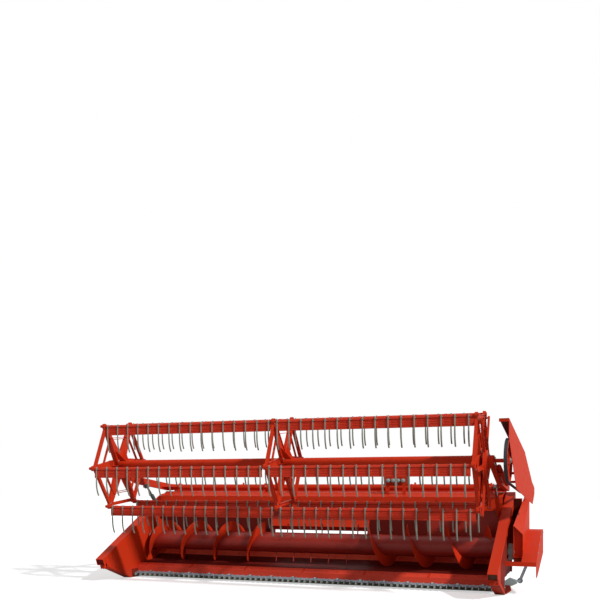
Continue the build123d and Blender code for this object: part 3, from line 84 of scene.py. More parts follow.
# Repeats a metre of the rust film, 30 mm, of its pitting, drawn coarse at 3 mm so that it shows, and of the
# rubber's bloom, 40 mm
FILM, PITS, BLOOM = 32.0, 300.0, 25.0
# Dust from the ground thickens from 145 mm above it down to 5 mm: heights in the row frame's metres
DUST_RANGE = {"From_Min": -0.36, "From_Max": -0.5, "To_Max": 0.4}
# Colour of dry field dust
DUST = "7A5A44"
# Setting of a Mix node that mixes colours
COLOURS = {"data_type": "RGBA"}


def row(points: Array) -> Array:
    """Turns millimetre places into the row frame.

    Args:
        points: (..., 3) array of (x, depth, height).

    Returns:
        (..., 3) array in metres: (x, depth - 1420, height - 505) / 1000.
    """
    return (np.asarray(points, float) - (0.0, *FACE)) / 1000.0


def linear(hex_code: str) -> tuple[float, float, float, float]:
    """Turns an sRGB hex colour into linear RGBA.

    Args:
        hex_code: six hex digits.

    Returns:
        c / 12.92 below 0.04045, else ((c + 0.055) / 1.055) ** 2.4, with alpha 1.
    """
    srgb = np.array([int(hex_code[i : i + 2], 16) for i in (0, 2, 4)]) / 255.0
    value = np.where(srgb <= 0.04045, srgb / 12.92, ((srgb + 0.055) / 1.055) ** 2.4)
    return (*value.tolist(), 1.0)


def add_node(
    tree: bpy.types.NodeTree, kind: str, settings: dict | None = None, **inputs: object
) -> bpy.types.Node:
    """Adds a shader node, fills its inputs and links what is given as a socket.

    Args:
        tree: the material's or world's node tree.
        kind: the node's type name without its first word, ShaderNode.
        settings: attributes to set on the node.
        **inputs: input names, with _ for a space, or in0, in1 and so on by place, and their value or
            source socket.

    Returns:
        The new node.
    """
    node = tree.nodes.new("ShaderNode" + kind)
    for name, value in (settings or {}).items():
        setattr(node, name, value)
    for name, value in inputs.items():
        by_place = name.startswith("in") and name[2:].isdigit()
        socket = node.inputs[int(name[2:])] if by_place else node.inputs[name.replace("_", " ")]
        if isinstance(value, bpy.types.NodeSocket):
            tree.links.new(value, socket)
        else:
            socket.default_value = value
    return node


def new_material(name: str) -> tuple[bpy.types.Material, bpy.types.NodeTree]:
    """Makes an empty node material.

    Args:
        name: real material and surface.

    Returns:
        The material and its cleared node tree.
    """
    material = bpy.data.materials.new(name)
    material.use_nodes = True
    material.node_tree.nodes.clear()
    return material, material.node_tree


@dataclass(frozen=True)
class Paint:
    """Sprayed farm machine paint: even colour, slight fading, streaks of crop stain, dust near the ground.

    Args:
        name: material name.
        base: sRGB hex of clean paint.
        faded: sRGB hex where sun and wash have dulled it.
        stain: sRGB hex of crop stain and grease.
        stain_share: 0 to 1, how much of the surface carries stain.
        roughness: gloss of clean paint.
        specular: how much gloss the film has kept, 0.5 on new paint.
    """

    name: str
    base: str
    faded: str
    stain: str
    stain_share: float = 0.1
    roughness: float = 0.45
    specular: float = 0.4

    def build(self) -> bpy.types.Material:
        """Builds the paint's material.

        Returns:
            The material: base mixed to faded by noise of 180 mm, to stain by noise of 60 mm drawn out to
            240 mm along the header, and to dust below 145 mm off the ground.
        """
        material, tree = new_material(self.name)
        place = add_node(tree, "TexCoord").outputs["Object"]
        fade = add_node(tree, "TexNoise", Vector=place, Scale=FADING, Detail=3.0, Roughness=0.6).outputs[0]
        faded = add_node(tree, "MapRange", Value=fade, From_Min=0.42, From_Max=0.75, To_Max=0.5).outputs[0]
        ends = {"in6": linear(self.base), "in7": linear(self.faded)}
        colour = add_node(tree, "Mix", COLOURS, Factor=faded, **ends).outputs[2]
        drawn = add_node(tree, "Mapping", Vector=place, Scale=(0.25, 1.0, 1.0)).outputs["Vector"]
        marks = add_node(tree, "TexNoise", Vector=drawn, Scale=MARKS, Detail=6.0, Roughness=0.65).outputs[0]
        stained = add_node(
            tree,
            "MapRange",
            Value=marks,
            From_Min=0.72 - 0.45 * self.stain_share,
            From_Max=0.92 - 0.3 * self.stain_share,
            To_Max=0.85,
        ).outputs[0]
        colour = add_node(tree, "Mix", COLOURS, Factor=stained, in6=colour, in7=linear(self.stain)).outputs[2]
        height = add_node(tree, "SeparateXYZ", Vector=place).outputs["Z"]
        low = add_node(tree, "MapRange", Value=height, **DUST_RANGE).outputs[0]
        dusted = add_node(tree, "Math", {"operation": "MULTIPLY"}, in0=low, in1=marks).outputs[0]
        colour = add_node(tree, "Mix", COLOURS, Factor=dusted, in6=colour, in7=linear(DUST)).outputs[2]
        dull, glossy = self.roughness + 0.16, self.roughness - 0.08
        rough = add_node(tree, "MapRange", Value=marks, To_Min=glossy, To_Max=dull).outputs[0]
        peel = add_node(tree, "TexNoise", Vector=place, Scale=PEEL, Detail=2.0).outputs["Fac"]
        bump = add_node(tree, "Bump", Strength=0.05, Distance=0.0005, Height=peel).outputs["Normal"]
        look = {"Base_Color": colour, "Roughness": rough, "Normal": bump, "Specular_IOR_Level": self.specular}
        shader = add_node(tree, "BsdfPrincipled", IOR=1.5, **look)
        add_node(tree, "OutputMaterial", Surface=shader.outputs["BSDF"])
        return material


@dataclass(frozen=True)
class Steel:
    """Bare or worked steel with a thin film of rust and oil.

    Args:
        name: material name.
        base: sRGB hex of the clean metal.
        rust: sRGB hex of the film.
        rust_share: 0 to 1, how much of it is covered.
        roughness: of the clean metal.
        metallic: of the clean metal; below 1 where the film is never wiped off.
    """

    name: str
    base: str
    rust: str
    rust_share: float = 0.3
    roughness: float = 0.42
    metallic: float = 1.0

    def build(self) -> bpy.types.Material:
        """Builds the steel's material.

        Returns:
            The material: metal mixed to a dull rust film by noise of 30 mm, over fine 3 mm pitting.
        """
        material, tree = new_material(self.name)
        place = add_node(tree, "TexCoord").outputs["Object"]
        film = add_node(tree, "TexNoise", Vector=place, Scale=FILM, Detail=6.0, Roughness=0.7).outputs["Fac"]
        start, full = 0.7 - 0.5 * self.rust_share, 0.85 - 0.3 * self.rust_share
        share = add_node(tree, "MapRange", Value=film, From_Min=start, From_Max=full).outputs[0]
        ends = {"in6": linear(self.base), "in7": linear(self.rust)}
        colour = add_node(tree, "Mix", COLOURS, Factor=share, **ends).outputs[2]
        metal = add_node(tree, "MapRange", Value=share, To_Min=self.metallic, To_Max=0.0).outputs[0]
        rough = add_node(tree, "MapRange", Value=share, To_Min=self.roughness, To_Max=0.8).outputs[0]
        pits = add_node(tree, "TexNoise", Vector=place, Scale=PITS, Detail=3.0).outputs["Fac"]
        bump = add_node(tree, "Bump", Strength=0.1, Distance=0.0004, Height=pits).outputs["Normal"]
        look = {"Base_Color": colour, "Metallic": metal, "Roughness": rough, "Normal": bump}
        shader = add_node(tree, "BsdfPrincipled", **look)
        add_node(tree, "OutputMaterial", Surface=shader.outputs["BSDF"])
        return material


@dataclass(frozen=True)
class Rubber:
    """Belt rubber: matt black with a dusty bloom.

    Args:
        name: material name.
        base: sRGB hex of the rubber.
        bloom: sRGB hex of the bloom.
        roughness: of the surface.
    """

    name: str
    base: str
    bloom: str
    roughness: float = 0.6

    def build(self) -> bpy.types.Material:
        """Builds the rubber's material.

        Returns:
            The material: base mixed to bloom by noise of 40 mm.
        """
        material, tree = new_material(self.name)
        place = add_node(tree, "TexCoord").outputs["Object"]
        cloud = add_node(tree, "TexNoise", Vector=place, Scale=BLOOM, Detail=4.0).outputs["Fac"]
        ends = {"in6": linear(self.base), "in7": linear(self.bloom)}
        colour = add_node(tree, "Mix", COLOURS, Factor=cloud, **ends).outputs[2]
        shader = add_node(tree, "BsdfPrincipled", Base_Color=colour, Roughness=self.roughness, IOR=1.5)
        add_node(tree, "OutputMaterial", Surface=shader.outputs["BSDF"])
        return material


class Finish(Enum):
    """The header's finishes."""

    # Main coat of sprayed red paint, soft gloss
    RED = Paint("red_machine_paint", "CB3314", "C2381E", "5E1A10", 0.1, 0.48, 0.12)
    # The same coat on the rear wall: rubbed, stained brown by crop
    WORN_RED = Paint("red_paint_rubbed_by_crop", "B22A18", "9A3020", "3C120C", 0.35, 0.38)
    # Auger tube: the coat rubbed dark brown-red by crop
    AUGER_RED = Paint("red_paint_on_auger_tube", "96261A", "862018", "36100A", 0.3, 0.38)
    # Stripper strip behind the auger: painted light, a very bright coat so that it looks sunlit though it
    # lies in the auger's shade
    STRIP_RED = Paint("red_strip_painted_bright_for_light", "F4583A", "E8503A", "A83020", 0.08, 0.5, 0.2)
    # Linings of the floor and the rear wall, painted maroon: painted shade where the auger, the reel and the
    # top box shade the trough
    TROUGH_RED = Paint("red_lining_painted_maroon_for_shade", "64160F", "701C14", "2A0A07", 0.3, 0.6, 0.15)
    # Floor pan with the lip's ramp: coat made brighter as painted light, for sun that the reel's shadows keep
    # off the ramp, with dark stains
    LIP_RED = Paint("red_paint_brightened_for_light", "DA4028", "D44030", "6A1E14", 0.16, 0.48, 0.25)
    # Reel slats: coat made brighter than the main red as painted light, to offset the shade in their grooves
    # and pressings
    SLAT_RED = Paint("red_paint_on_reel_slats", "D23820", "C23C24", "5E1A10", 0.1, 0.5, 0.2)
    # Cast or ground steel of guards and knife, blue-grey under a film of oil
    STEEL = Steel("ground_knife_steel", "A4B2BA", "6E736A", 0.35, 0.42, 0.6)
    # Cast iron of the guards' lower halves and the sheet under the bar, olive with dried crop; made lighter
    # as painted light, since they sit in shade
    IRON = Steel("cast_guard_iron", "82846F", "6A6650", 0.5, 0.65, 0.2)
    # Oil-hardened spring wire of the tines, grey-green
    SPRING = Steel("spring_steel_tines", "8A8C80", "6A685A", 0.35, 0.55, 0.15)
    # Zinc-plated bolts, bright with a yellow tinge
    ZINC = Steel("zinc_plated_bolts", "A8A8A0", "7A6A50", 0.25, 0.4, 0.9)
    # Grey paint of gearbox, couplers and castings, blue-green and matt
    GREY = Paint("grey_gearbox_paint", "93A5A2", "A9B6B2", "4C5048", 0.15, 0.4)
    # Darker grey-green of the left cylinder
    DARK_GREY = Paint("dark_grey_cylinder_paint", "4E605C", "5E6C68", "2C302A", 0.15, 0.45)
    # Red coat painted dark: painted shade on sheets that lie in shadow at the drive, the dividers and the box
    # ends, with grease and dust
    GREASED_RED = Paint("red_paint_darkened_for_grease_and_shade", "7E1E12", "8A2618", "38100A", 0.3, 0.6, 0.15)
    # Sheet behind the drive, painted black-red: painted shade for the deep shadow there
    CAKED_RED = Paint("red_paint_painted_black_for_shade", "3E0E08", "4A140C", "1E0604", 0.3, 0.7, 0.1)
    # Skid plates that run on the ground: paint gone, brown rust; the same brown is painted shade under the
    # reel shield
    RUSTY = Steel("rusty_skid_plate", "5C3322", "4A3020", 0.5, 0.75, 0.0)
    # Polished piston rod, bright chrome
    ROD = Steel("polished_cylinder_rod", "B4BAB8", "70705F", 0.12, 0.25)
    # Drive belt, black with a blue-grey bloom
    BELT = Rubber("black_belt_rubber", "101C22", "1D2C33")

    def material(self) -> bpy.types.Material:
        """The finish's material, built once."""
        return bpy.data.materials.get(self.value.name) or self.value.build()

    def slot(self) -> str:
        """Name of the record's material slot that the finish stands for.

        Returns:
            red_paint or grey_paint for a paint, by its name, else bare_steel or belt_rubber.
        """
        if isinstance(self.value, Paint):
            return "red_paint" if "red" in self.value.name else "grey_paint"
        return "bare_steel" if isinstance(self.value, Steel) else "belt_rubber"


def places(x: Array | float, depth: Array | float, height: Array | float) -> Array:
    """Places from their coordinates, each an array of n numbers or one number for all.

    Args:
        x: along the header.
        depth: rearwards.
        height: upwards.

    Returns:
        (n, 3) array.
    """
    return np.column_stack(np.broadcast_arrays(x, depth, height))


def copies(grid: Array, spots: Array) -> Array:
    """The same grid moved to each place: (n, rings, points, 3) for (n, 3) places."""
    return grid + spots[:, None, None, :]


def turned(profile: Array, centres: Array, axis: Point = RIGHT, sides: int = 16) -> Array:
    """Surfaces turned about an axis: centre + h * axis + r * (cos a * u + sin a * v).

    Args:
        profile: (k, 2) array of radius r and distance h along the axis.
        centres: (..., 3) array of the surfaces' centres.
        axis: unit direction that h runs along; u and v are square to it.
        sides: how many steps the turn has.

    Returns:
        (..., k, sides, 3) grids.
    """
    along = np.asarray(axis, float)
    helper = np.array(UP if abs(along[2]) < 0.9 else REARWARD)
    first = np.cross(along, helper)
    first /= np.linalg.norm(first)
    second = np.cross(along, first)
    angle = np.arange(sides) * 2.0 * np.pi / sides
    circle = np.cos(angle)[:, None] * first + np.sin(angle)[:, None] * second
    profile = np.asarray(profile, float)
    grid = profile[:, 1, None, None] * along + profile[:, 0, None, None] * circle
    return np.asarray(centres, float)[..., None, None, :] + grid


def bar(path: Array, radius: float | Array, across: Point = RIGHT, sides: int = 8) -> Array:
    """Round bars along paths: path + radius * (cos a * side + sin a * up).

    Args:
        path: (..., p, 3) array of places.
        radius: of the bar, or a (p, 1, 1) array of it along the path.
        across: a direction that is nowhere along the path; side = tangent x across, up = side x tangent.
        sides: how many flats go round.

    Returns:
        (..., p, sides, 3) grids.
    """
    path = np.asarray(path, float)
    tangent = np.gradient(path, axis=-2)
    tangent /= np.linalg.norm(tangent, axis=-1, keepdims=True)
    side = np.cross(tangent, np.asarray(across, float))
    side /= np.linalg.norm(side, axis=-1, keepdims=True)
    up = np.cross(side, tangent)
    angle = (np.arange(sides) + 0.5) * 2.0 * np.pi / sides
    ring = np.cos(angle)[:, None] * side[..., None, :] + np.sin(angle)[:, None] * up[..., None, :]
    return path[..., None, :] + radius * ring


def rod(start: Point, end: Point, radius: float, across: Point = RIGHT) -> Array:
    """Straight round bar, with a third place halfway.

    Args:
        start: middle of one end.
        end: middle of the other end.
        radius: of the bar.
        across: a direction that isn't along it.

    Returns:
        (3, 8, 3) grid.
    """
    return bar(np.linspace(start, end, 3), radius, across)


def curve(points: Array, count: int) -> Array:
    """Smooth curve through points: cubics whose slope at a point is half the step between its neighbours.

    Args:
        points: (n, k) array.
        count: how many places to give.

    Returns:
        (count, k) array.
    """
    points = np.asarray(points, float)
    padded = np.vstack([2 * points[0] - points[1], points, 2 * points[-1] - points[-2]])
    along = np.linspace(0.0, len(points) - 1.0, count)
    start = np.minimum(along.astype(int), len(points) - 2)
    t = (along - start)[:, None]
    p0, p1, p2, p3 = (padded[start + k] for k in range(4))
    return 0.5 * (
        2 * p1 + (p2 - p0) * t + (2 * p0 - 5 * p1 + 4 * p2 - p3) * t**2 + (3 * p1 - p0 - 3 * p2 + p3) * t**3
    )


def slab(outline: Array, start: float, end: float, axis: int = 0) -> Array:
    """Plate with an outline: the same outline at two places along an axis.

    Args:
        outline: (m, 2) array of the other two coordinates, in the order x, depth, height.
        start: place of one face.
        end: place of the other face.
        axis: 0 for x, 1 for depth, 2 for height.

    Returns:
        (2, m, 3) grid.
    """
    outline = np.asarray(outline, float)
    return np.stack([np.insert(outline, axis, place, axis=1) for place in (start, end)])


def box(low: Point, high: Point) -> Array:
    """Block between its lowest and highest corner, as a plate along x: (2, 4, 3) grid."""
    corners = [(low[1], low[2]), (high[1], low[2]), (high[1], high[2]), (low[1], high[2])]
    return slab(corners, low[0], high[0])


def rounded(start: Pair, end: Pair, width: float, steps: int = 6) -> Array:
    """Outline of a strap with round ends: half circles about both points, joined.

    Args:
        start: middle of one end.
        end: middle of the other end.
        width: across the strap.
        steps: flats of a half circle.

    Returns:
        (2 * (steps + 1), 2) array.
    """
    first, last = np.array(start), np.array(end)
    heading = math.atan2(*(last - first)[::-1])
    turn = heading + np.pi / 2 + np.linspace(0.0, np.pi, steps + 1)
    circle = np.column_stack([np.cos(turn), np.sin(turn)]) * width / 2
    return np.vstack([first + circle, last - circle])


def fin(centre: Array, outward: Array, corners: list[Pair], half: float) -> Array:
    """Plate that stands out from a shaft along x: centre + along * x + out * outward.

    Args:
        centre: place on the shaft's axis.
        outward: unit direction away from it.
        corners: m pairs of x from the centre and distance from the axis.
        half: half of its thickness.

    Returns:
        (2, m, 3) grid.
    """
    flat = centre + np.array([(along, 0.0, 0.0) + outward * out for along, out in corners])
    across = np.cross(RIGHT, outward) * half
    return np.stack([flat - across, flat + across])


# Hexagon bolt head with its washer, for a 10 mm bolt: radius and height from the face it sits on
BOLT = np.array([(12.0, 0.0), (12.0, 2.5), (8.6, 2.5), (8.6, 8.5), (6.8, 9.5)])


def bolts(centres: Array, axis: Point, size: float = 1.0) -> Array:
    """Hexagon bolt heads with washers.

    Args:
        centres: (..., 3) array of the places where they sit.
        axis: direction that the heads stand out in.
        size: 1 for a 10 mm bolt.

    Returns:
        (..., 5, 6, 3) grids.
    """
    return turned(BOLT * size, centres, axis, 6)


class Form:
    """Surfaces of one piece, gathered in millimetres before they become a mesh."""

    def __init__(self, name: str, body: str, finish: Finish, *grids: Array) -> None:
        """Starts a piece.

        Args:
            name: of the piece.
            body: CAD body that it rides on.
            finish: of its surface.
            *grids: its first surfaces, as for add().
        """
        self.name = name
        self.body = body
        self.finish = finish
        self.points: list[Array] = []
        self.faces: list[list[int]] = []
        self.count = 0
        self.add(*grids)

    def add(self, *grids: Array, capped: bool = True) -> None:
        """Adds surfaces whose rings close round.

        Args:
            *grids: (..., rings, points, 3) arrays; each neighbouring pair of rings is joined by quads.
            capped: whether the first and last ring are closed by a face.
        """
        for grid in grids:
            rings, around = grid.shape[-3:-1]
            shells = grid.reshape(-1, rings * around, 3)
            ring, step = np.meshgrid(np.arange(rings - 1), np.arange(around), indexing="ij")
            after = (step + 1) % around
            corners = (ring * around + step, ring * around + after, (ring + 1) * around + after)
            quads = np.stack([*corners, (ring + 1) * around + step], axis=-1).reshape(-1, 4)
            starts = (self.count + np.arange(len(shells)) * rings * around)[:, None, None]
            self.faces += (quads + starts).reshape(-1, 4).tolist()
            if capped:
                ends = np.stack([np.arange(around)[::-1], np.arange(around) + (rings - 1) * around])
                self.faces += (ends + starts).reshape(-1, around).tolist()
            self.points.append(shells.reshape(-1, 3))
            self.count += shells.shape[0] * shells.shape[1]

    def piece(self, bevel: float = 0.0) -> bpy.types.Object:
        """Makes the mesh, dresses it and sets it on its body.

        Args:
            bevel: width of the rounded edges in millimetres, 0 for none.

        Returns:
            The piece.
        """
        mesh = bpy.data.meshes.new(self.name)
        mesh.from_pydata(row(np.vstack(self.points)).tolist(), [], self.faces)
        shell = bmesh.new()
        shell.from_mesh(mesh)
        bmesh.ops.recalc_face_normals(shell, faces=shell.faces)
        shell.to_mesh(mesh)
        shell.free()
        mesh.polygons.foreach_set("use_smooth", np.ones(len(mesh.polygons), bool))
        mesh.set_sharp_from_angle(angle=math.radians(SHARP))
        mesh.materials.append(self.finish.material())
        piece = bpy.data.objects.new(self.name, mesh)
        bpy.context.scene.collection.objects.link(piece)
        if bevel:
            rounding = piece.modifiers.new("edge", "BEVEL")
            rounding.width = bevel / 1000.0
            rounding.segments = 2
            rounding.limit_method = "ANGLE"
        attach(piece, self.body)
        self.finish.slot()
        log.info("%s on %s: %d faces", self.name, self.body, len(self.faces))
        return piece


@dataclass(frozen=True)
class Bats:
    """The six tined bats: folded slat in two halves, shaft, crank and tine wires.

    Args:
        circle: radius that the bats turn on.
        height: of the reel shaft.
        phase: degrees that the first bat stands below the front.
        front: slat face from the shaft's axis, along the depth.
        top: slat's top edge from the shaft's axis.
        drop: height of the slat.
        lip: width of the folded edges.
        sheet: thickness.
        relief: depth of the pressed panels between the tines.
        wire: radius of a tine.
        thicker: added to it below the slat.
        tines: how many a half, their spacing and the first one's distance from the middle.
        half: first and last x of the right half's slat.
        left_end: x of the left half's outer end.
        shaft: radius and left end of the shaft.
        straps: first x, last x and count of the straps between shaft and slat.
        crank: x and thickness of the crank plate.
        pin_drop: how far the crank's pin hangs below the shaft.
        pin: its radius and length.
    """

    circle: float = 603.0
    height: float = 1555.0
    phase: float = 6.0
    front: float = -13.0
    top: float = 3.0
    drop: float = 122.0
    lip: float = 22.0
    sheet: float = 3.0
    relief: float = 5.0
    wire: float = 7.8
    thicker: float = 1.7
    tines: tuple[int, float, float] = (16, 150, 55.5)
    half: Pair = (35, 2365)
    left_end: float = -2335.0
    shaft: Pair = (12.5, -2425)
    straps: tuple[float, float, int] = (-2260, 2290, 14)
    crank: Pair = (2408, 6)
    pin_drop: float = 50.0
    pin: Pair = (10, 36)

    def tine_x(self) -> Array:
        """Places of all tines along x.

        Returns:
            (32,) array, the same to both sides of the middle.
        """
        count, pitch, first = self.tines
        right = first + pitch * np.arange(count)
        return np.concatenate([-right[::-1], right])

    def axle(self, x: float) -> Array:
        """Place on the reel shaft's axis at x."""
        return np.array([x, 0.0, self.height])

    def centre(self, index: int) -> Array:
        """Middle of a bat's shaft.

        Args:
            index: 0 to 5, from the front upwards.

        Returns:
            (3,) array on the reel's circle: 60 degrees a bat.
        """
        angle = math.radians(60.0 * index - self.phase)
        return np.array([0.0, -self.circle * math.cos(angle), self.height + self.circle * math.sin(angle)])

    def skin(self) -> tuple[Array, Array]:
        """Section of the slat, outside then back along the inside.

        Returns:
            (k, 2) closed outline of depth and height from the shaft, with a fold groove near the top and
            a bead near the bottom, and (k,) share of the panel's relief at each point: none on its ribs.
        """
        up, down, face = self.top, self.top - self.drop, self.front
        # Millimetres below the top edge, and share of the relief there
        panel = [(41, 0), (43, 1), (53, 1), (55, 0), (60, 0), (62, 1), (72, 1), (74, 0), (79, 0)]
        panel += [(81, 1), (91, 1), (93, 0)]
        outside = [
            (face + self.lip, up, 0),
            (face + 4, up, 0),
            (face + 1, up - 1, 0),
            (face, up - 4, 0),
            (face, up - 19, 0),
            (face + 13, up - 21, 0),
            (face + 13, up - 33, 0),
            (face, up - 35, 0),
            *((face, up - below, share) for below, share in panel),
            (face, down + 24, 0),
            (face + 6, down + 20, 0),
            (face, down + 15, 0),
            (face, down + 4, 0),
            (face + 1, down + 1, 0),
            (face + 4, down, 0),
            (face + self.lip, down, 0),
        ]
        line = np.array(outside, float)
        inner = line[::-1].copy()
        inner[:, 0] = np.maximum(inner[:, 0], face) + self.sheet
        inner[0, 0] = inner[-1, 0] = face + self.lip
        middle = self.top - self.drop / 2
        inner[:, 1] = middle + (inner[:, 1] - middle) * (1.0 - 2.0 * self.sheet / self.drop)
        closed = np.vstack([line, inner])
        return closed[:, :2], closed[:, 2]

    def slat(self, start: float, end: float) -> Array:
        """Slat with a panel pressed in between each two tines.

        Depth = section + relief * share along the height * share along x, where the last rises from 0
        to 1 within 4 mm at each side of a panel.

        Args:
            start: lowest x.
            end: highest x.

        Returns:
            (stations, points, 3) grid about the shaft's axis.
        """
        tines = self.tine_x()
        tines = tines[(tines > start) & (tines < end)]
        edges = np.column_stack([tines[:-1] + 22, tines[:-1] + 26, tines[1:] - 26, tines[1:] - 22]).ravel()
        stations = np.concatenate([[start], edges, [end]])
        share = np.concatenate([[0.0], np.tile([0.0, 1.0, 1.0, 0.0], len(tines) - 1), [0.0]])
        outline, pressed = self.skin()
        grid = np.empty((len(stations), len(outline), 3))
        grid[..., 0] = stations[:, None]
        grid[..., 1] = outline[:, 0] + self.relief * share[:, None] * pressed
        grid[..., 2] = outline[:, 1]
        return grid

    def tine(self) -> Array:
        """One tine about its bat's shaft, hooked over the slat and curved back below it.

        Returns:
            (22, 6, 3) grid of a bar along a smooth curve, thickening 130 to 170 mm below the shaft.
        """
        face = self.front - self.wire
        route = [
            (self.front + 9.0, self.top + self.wire),
            (face + 1.0, self.top + self.wire - 1.0),
            (face, self.top - 6.0),
            (face, self.top - self.drop),
            (face + 3.0, -200.0),
            (face + 13.0, -262.0),
            (face + 34.0, -316.0),
            (face + 48.0, -339.0),
        ]
        route = places(0.0, *curve(route, 22).T)
        radius = np.interp(route[:, 2], [-170.0, -130.0], [self.wire + self.thicker, self.wire])
        return bar(route, radius[:, None, None], sides=6)

    def build(self) -> None:
        """Builds the bats in their six places, each in place of its CAD node."""
        along = places(self.tine_x(), 0.0, 0.0)
        tine = self.tine()
        radius, left = self.shaft
        crank_x, thick = self.crank
        shaft = [(radius, left), (radius, crank_x)]
        knob = np.array([(14, 0), (18, 4), (18, 20), (14, 24)]) + (0, left)
        strap = slab([(-10.5, 14), (14, 14), (14, -14), (-10.5, -14)], -14, 14)
        straps = places(np.linspace(*self.straps), 0.0, 0.0)
        crank = slab(rounded((0, 0), (0, -self.pin_drop), 34), crank_x, crank_x + thick)
        pin = [(self.pin[0], crank_x), (self.pin[0], crank_x + self.pin[1])]
        bolt = places(self.tine_x() + 11.0, self.front, self.top - 12.0)
        near, far = self.front, self.front - 2.0 * self.wire - 1.5
        clip = slab([(near, -8.0), (far, -8.0), (far, -16.0), (near, -16.0)], -7.0, 18.0)
        for index in range(6):
            name = f"bat_{index + 1}"
            centre = self.centre(index)
            slats = Form(f"{name}_slat", name, Finish.SLAT_RED, self.slat(*self.half) + centre)
            slats.add(self.slat(self.left_end, -self.half[0]) + centre)
            slats.add(turned(shaft, centre), turned(knob, centre))
            slats.add(copies(strap + centre, straps), crank + centre)
            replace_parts(slats.piece(), name)
            rods = Form(f"{name}_tines", name, Finish.SPRING, copies(tine + centre, along))
            rods.add(turned(pin, centre - (0, 0, self.pin_drop)))
            rods.piece()
            fixings = Form(f"{name}_clips", name, Finish.SPRING, bolts(bolt + centre, FORWARD, 0.5))
            fixings.add(copies(clip + centre, along))
            fixings.piece()


@dataclass(frozen=True)
class ReelFittings:
    """Hubs, gussets, bearings, straps and bolts of the spiders, and ribs and nut of the reel pulley.

    Args:
        bats: the bats that the spiders carry.
        spiders: x of the three spiders.
        gusset_ways: side of each spider that its gussets stand on.
        tube: radius of the centre tube.
        pulley_x: x of the belt pulley.
        sheet: half of a gusset's and a strap's thickness.
        bolt_share: share of a spoke's length where its bolt sits.
        ring_share: the same of the straps from spoke to spoke.
    """

    bats: Bats
    spiders: Triple = (-2355, 0, 2385)
    gusset_ways: Triple = (1, 1, -1)
    tube: float = 60.0
    pulley_x: float = 2680.0
    sheet: float = 2.5
    bolt_share: float = 0.925
    ring_share: float = 0.7

    def spoke(self, index: int, share: float) -> Array:
        """Place on a spoke's middle line at a share of its length, at x = 0."""
        middle = self.bats.axle(0.0)
        return middle + share * (self.bats.centre(index) - middle)

    def hubs(self) -> None:
        """Clamp rings, gussets from tube to spoke and their bolts."""
        hub = Form("reel_hubs", "reel", Finish.RED)
        heads = Form("reel_hub_bolts", "reel", Finish.ZINC)
        tube = self.tube
        flange = [(tube, -12), (88, -12), (92, -8), (92, 8), (88, 12), (tube, 12)]
        bolt_circle = 76.0
        for x, way in zip(self.spiders, self.gusset_ways):
            centre = self.bats.axle(x)
            hub.add(turned(flange, centre, sides=24))
            corners = [(way * 4.0, tube - 2.0), (way * 110.0, tube - 2.0), (way * 4.0, 235.0)]
            for index in range(6):
                outward = (self.spoke(index, 1.0) - self.bats.axle(0.0)) / self.bats.circle
                hub.add(fin(centre, outward, corners, self.sheet))
                turn = math.radians(60.0 * index + 24.0)
                place = centre + (way * 12.0, bolt_circle * math.cos(turn), bolt_circle * math.sin(turn))
                heads.add(bolts(place, (way, 0.0, 0.0), 1.1))
        hub.piece(bevel=1.0)
        heads.piece()

    def bearings(self) -> None:
        """Bearing sleeves of the bat shafts, the bolts at the rims and the straps between the spokes."""
        block = Form("bat_bearings", "reel", Finish.RED)
        heads = Form("bat_bearing_bolts", "reel", Finish.ZINC)
        straps = Form("spider_ring_straps", "reel", Finish.RED)
        sleeve = [(13, -16), (17, -16), (18.5, -14), (18.5, 14), (17, 16), (13, 16)]
        for x in self.spiders:
            for index in range(6):
                block.add(turned(sleeve, self.bats.centre(index) + (x, 0.0, 0.0), sides=18))
                inner = self.spoke(index, self.bolt_share) + (x + 3.0, 0.0, 0.0)
                heads.add(bolts(inner, RIGHT), bolts(inner - (6, 0, 0), (-1, 0, 0)))
                start, end = (self.spoke(index + step, self.ring_share) for step in (0, 1))
                across = np.cross(RIGHT, end - start)
                across *= self.sheet / np.linalg.norm(across)
                face = np.array([start - across, end - across, end + across, start + across])
                straps.add(np.stack([face + (x - 14.0, 0.0, 0.0), face + (x + 14.0, 0.0, 0.0)]))
        block.piece(bevel=0.8)
        heads.piece()
        straps.piece()

    def pulley(self) -> None:
        """Ribs and nut of the reel pulley."""
        middle = self.bats.axle(self.pulley_x)
        web = Form("reel_pulley_ribs", "reel", Finish.RED)
        foot, tip = 44.0, 222.0
        for index in range(6):
            angle = math.radians(60.0 * index + 20.0)
            outward = np.array([0.0, math.cos(angle), math.sin(angle)])
            for way in (-1, 1):
                corners = [(way * 3.0, foot), (way * 18.0, foot), (way * 10.0, tip), (way * 3.0, tip)]
                web.add(fin(middle, outward, corners, 3.0))
        web.piece(bevel=1.0)
        nut = [(22, 0), (36, 0), (36, 4), (28, 4), (28, 14)]
        Form("reel_shaft_nut", "reel", Finish.ZINC, turned(nut, middle + (22, 0, 0), sides=6)).piece()

    def build(self) -> None:
        """Builds all fittings of the reel."""
        self.hubs()
        self.bearings()
        self.pulley()


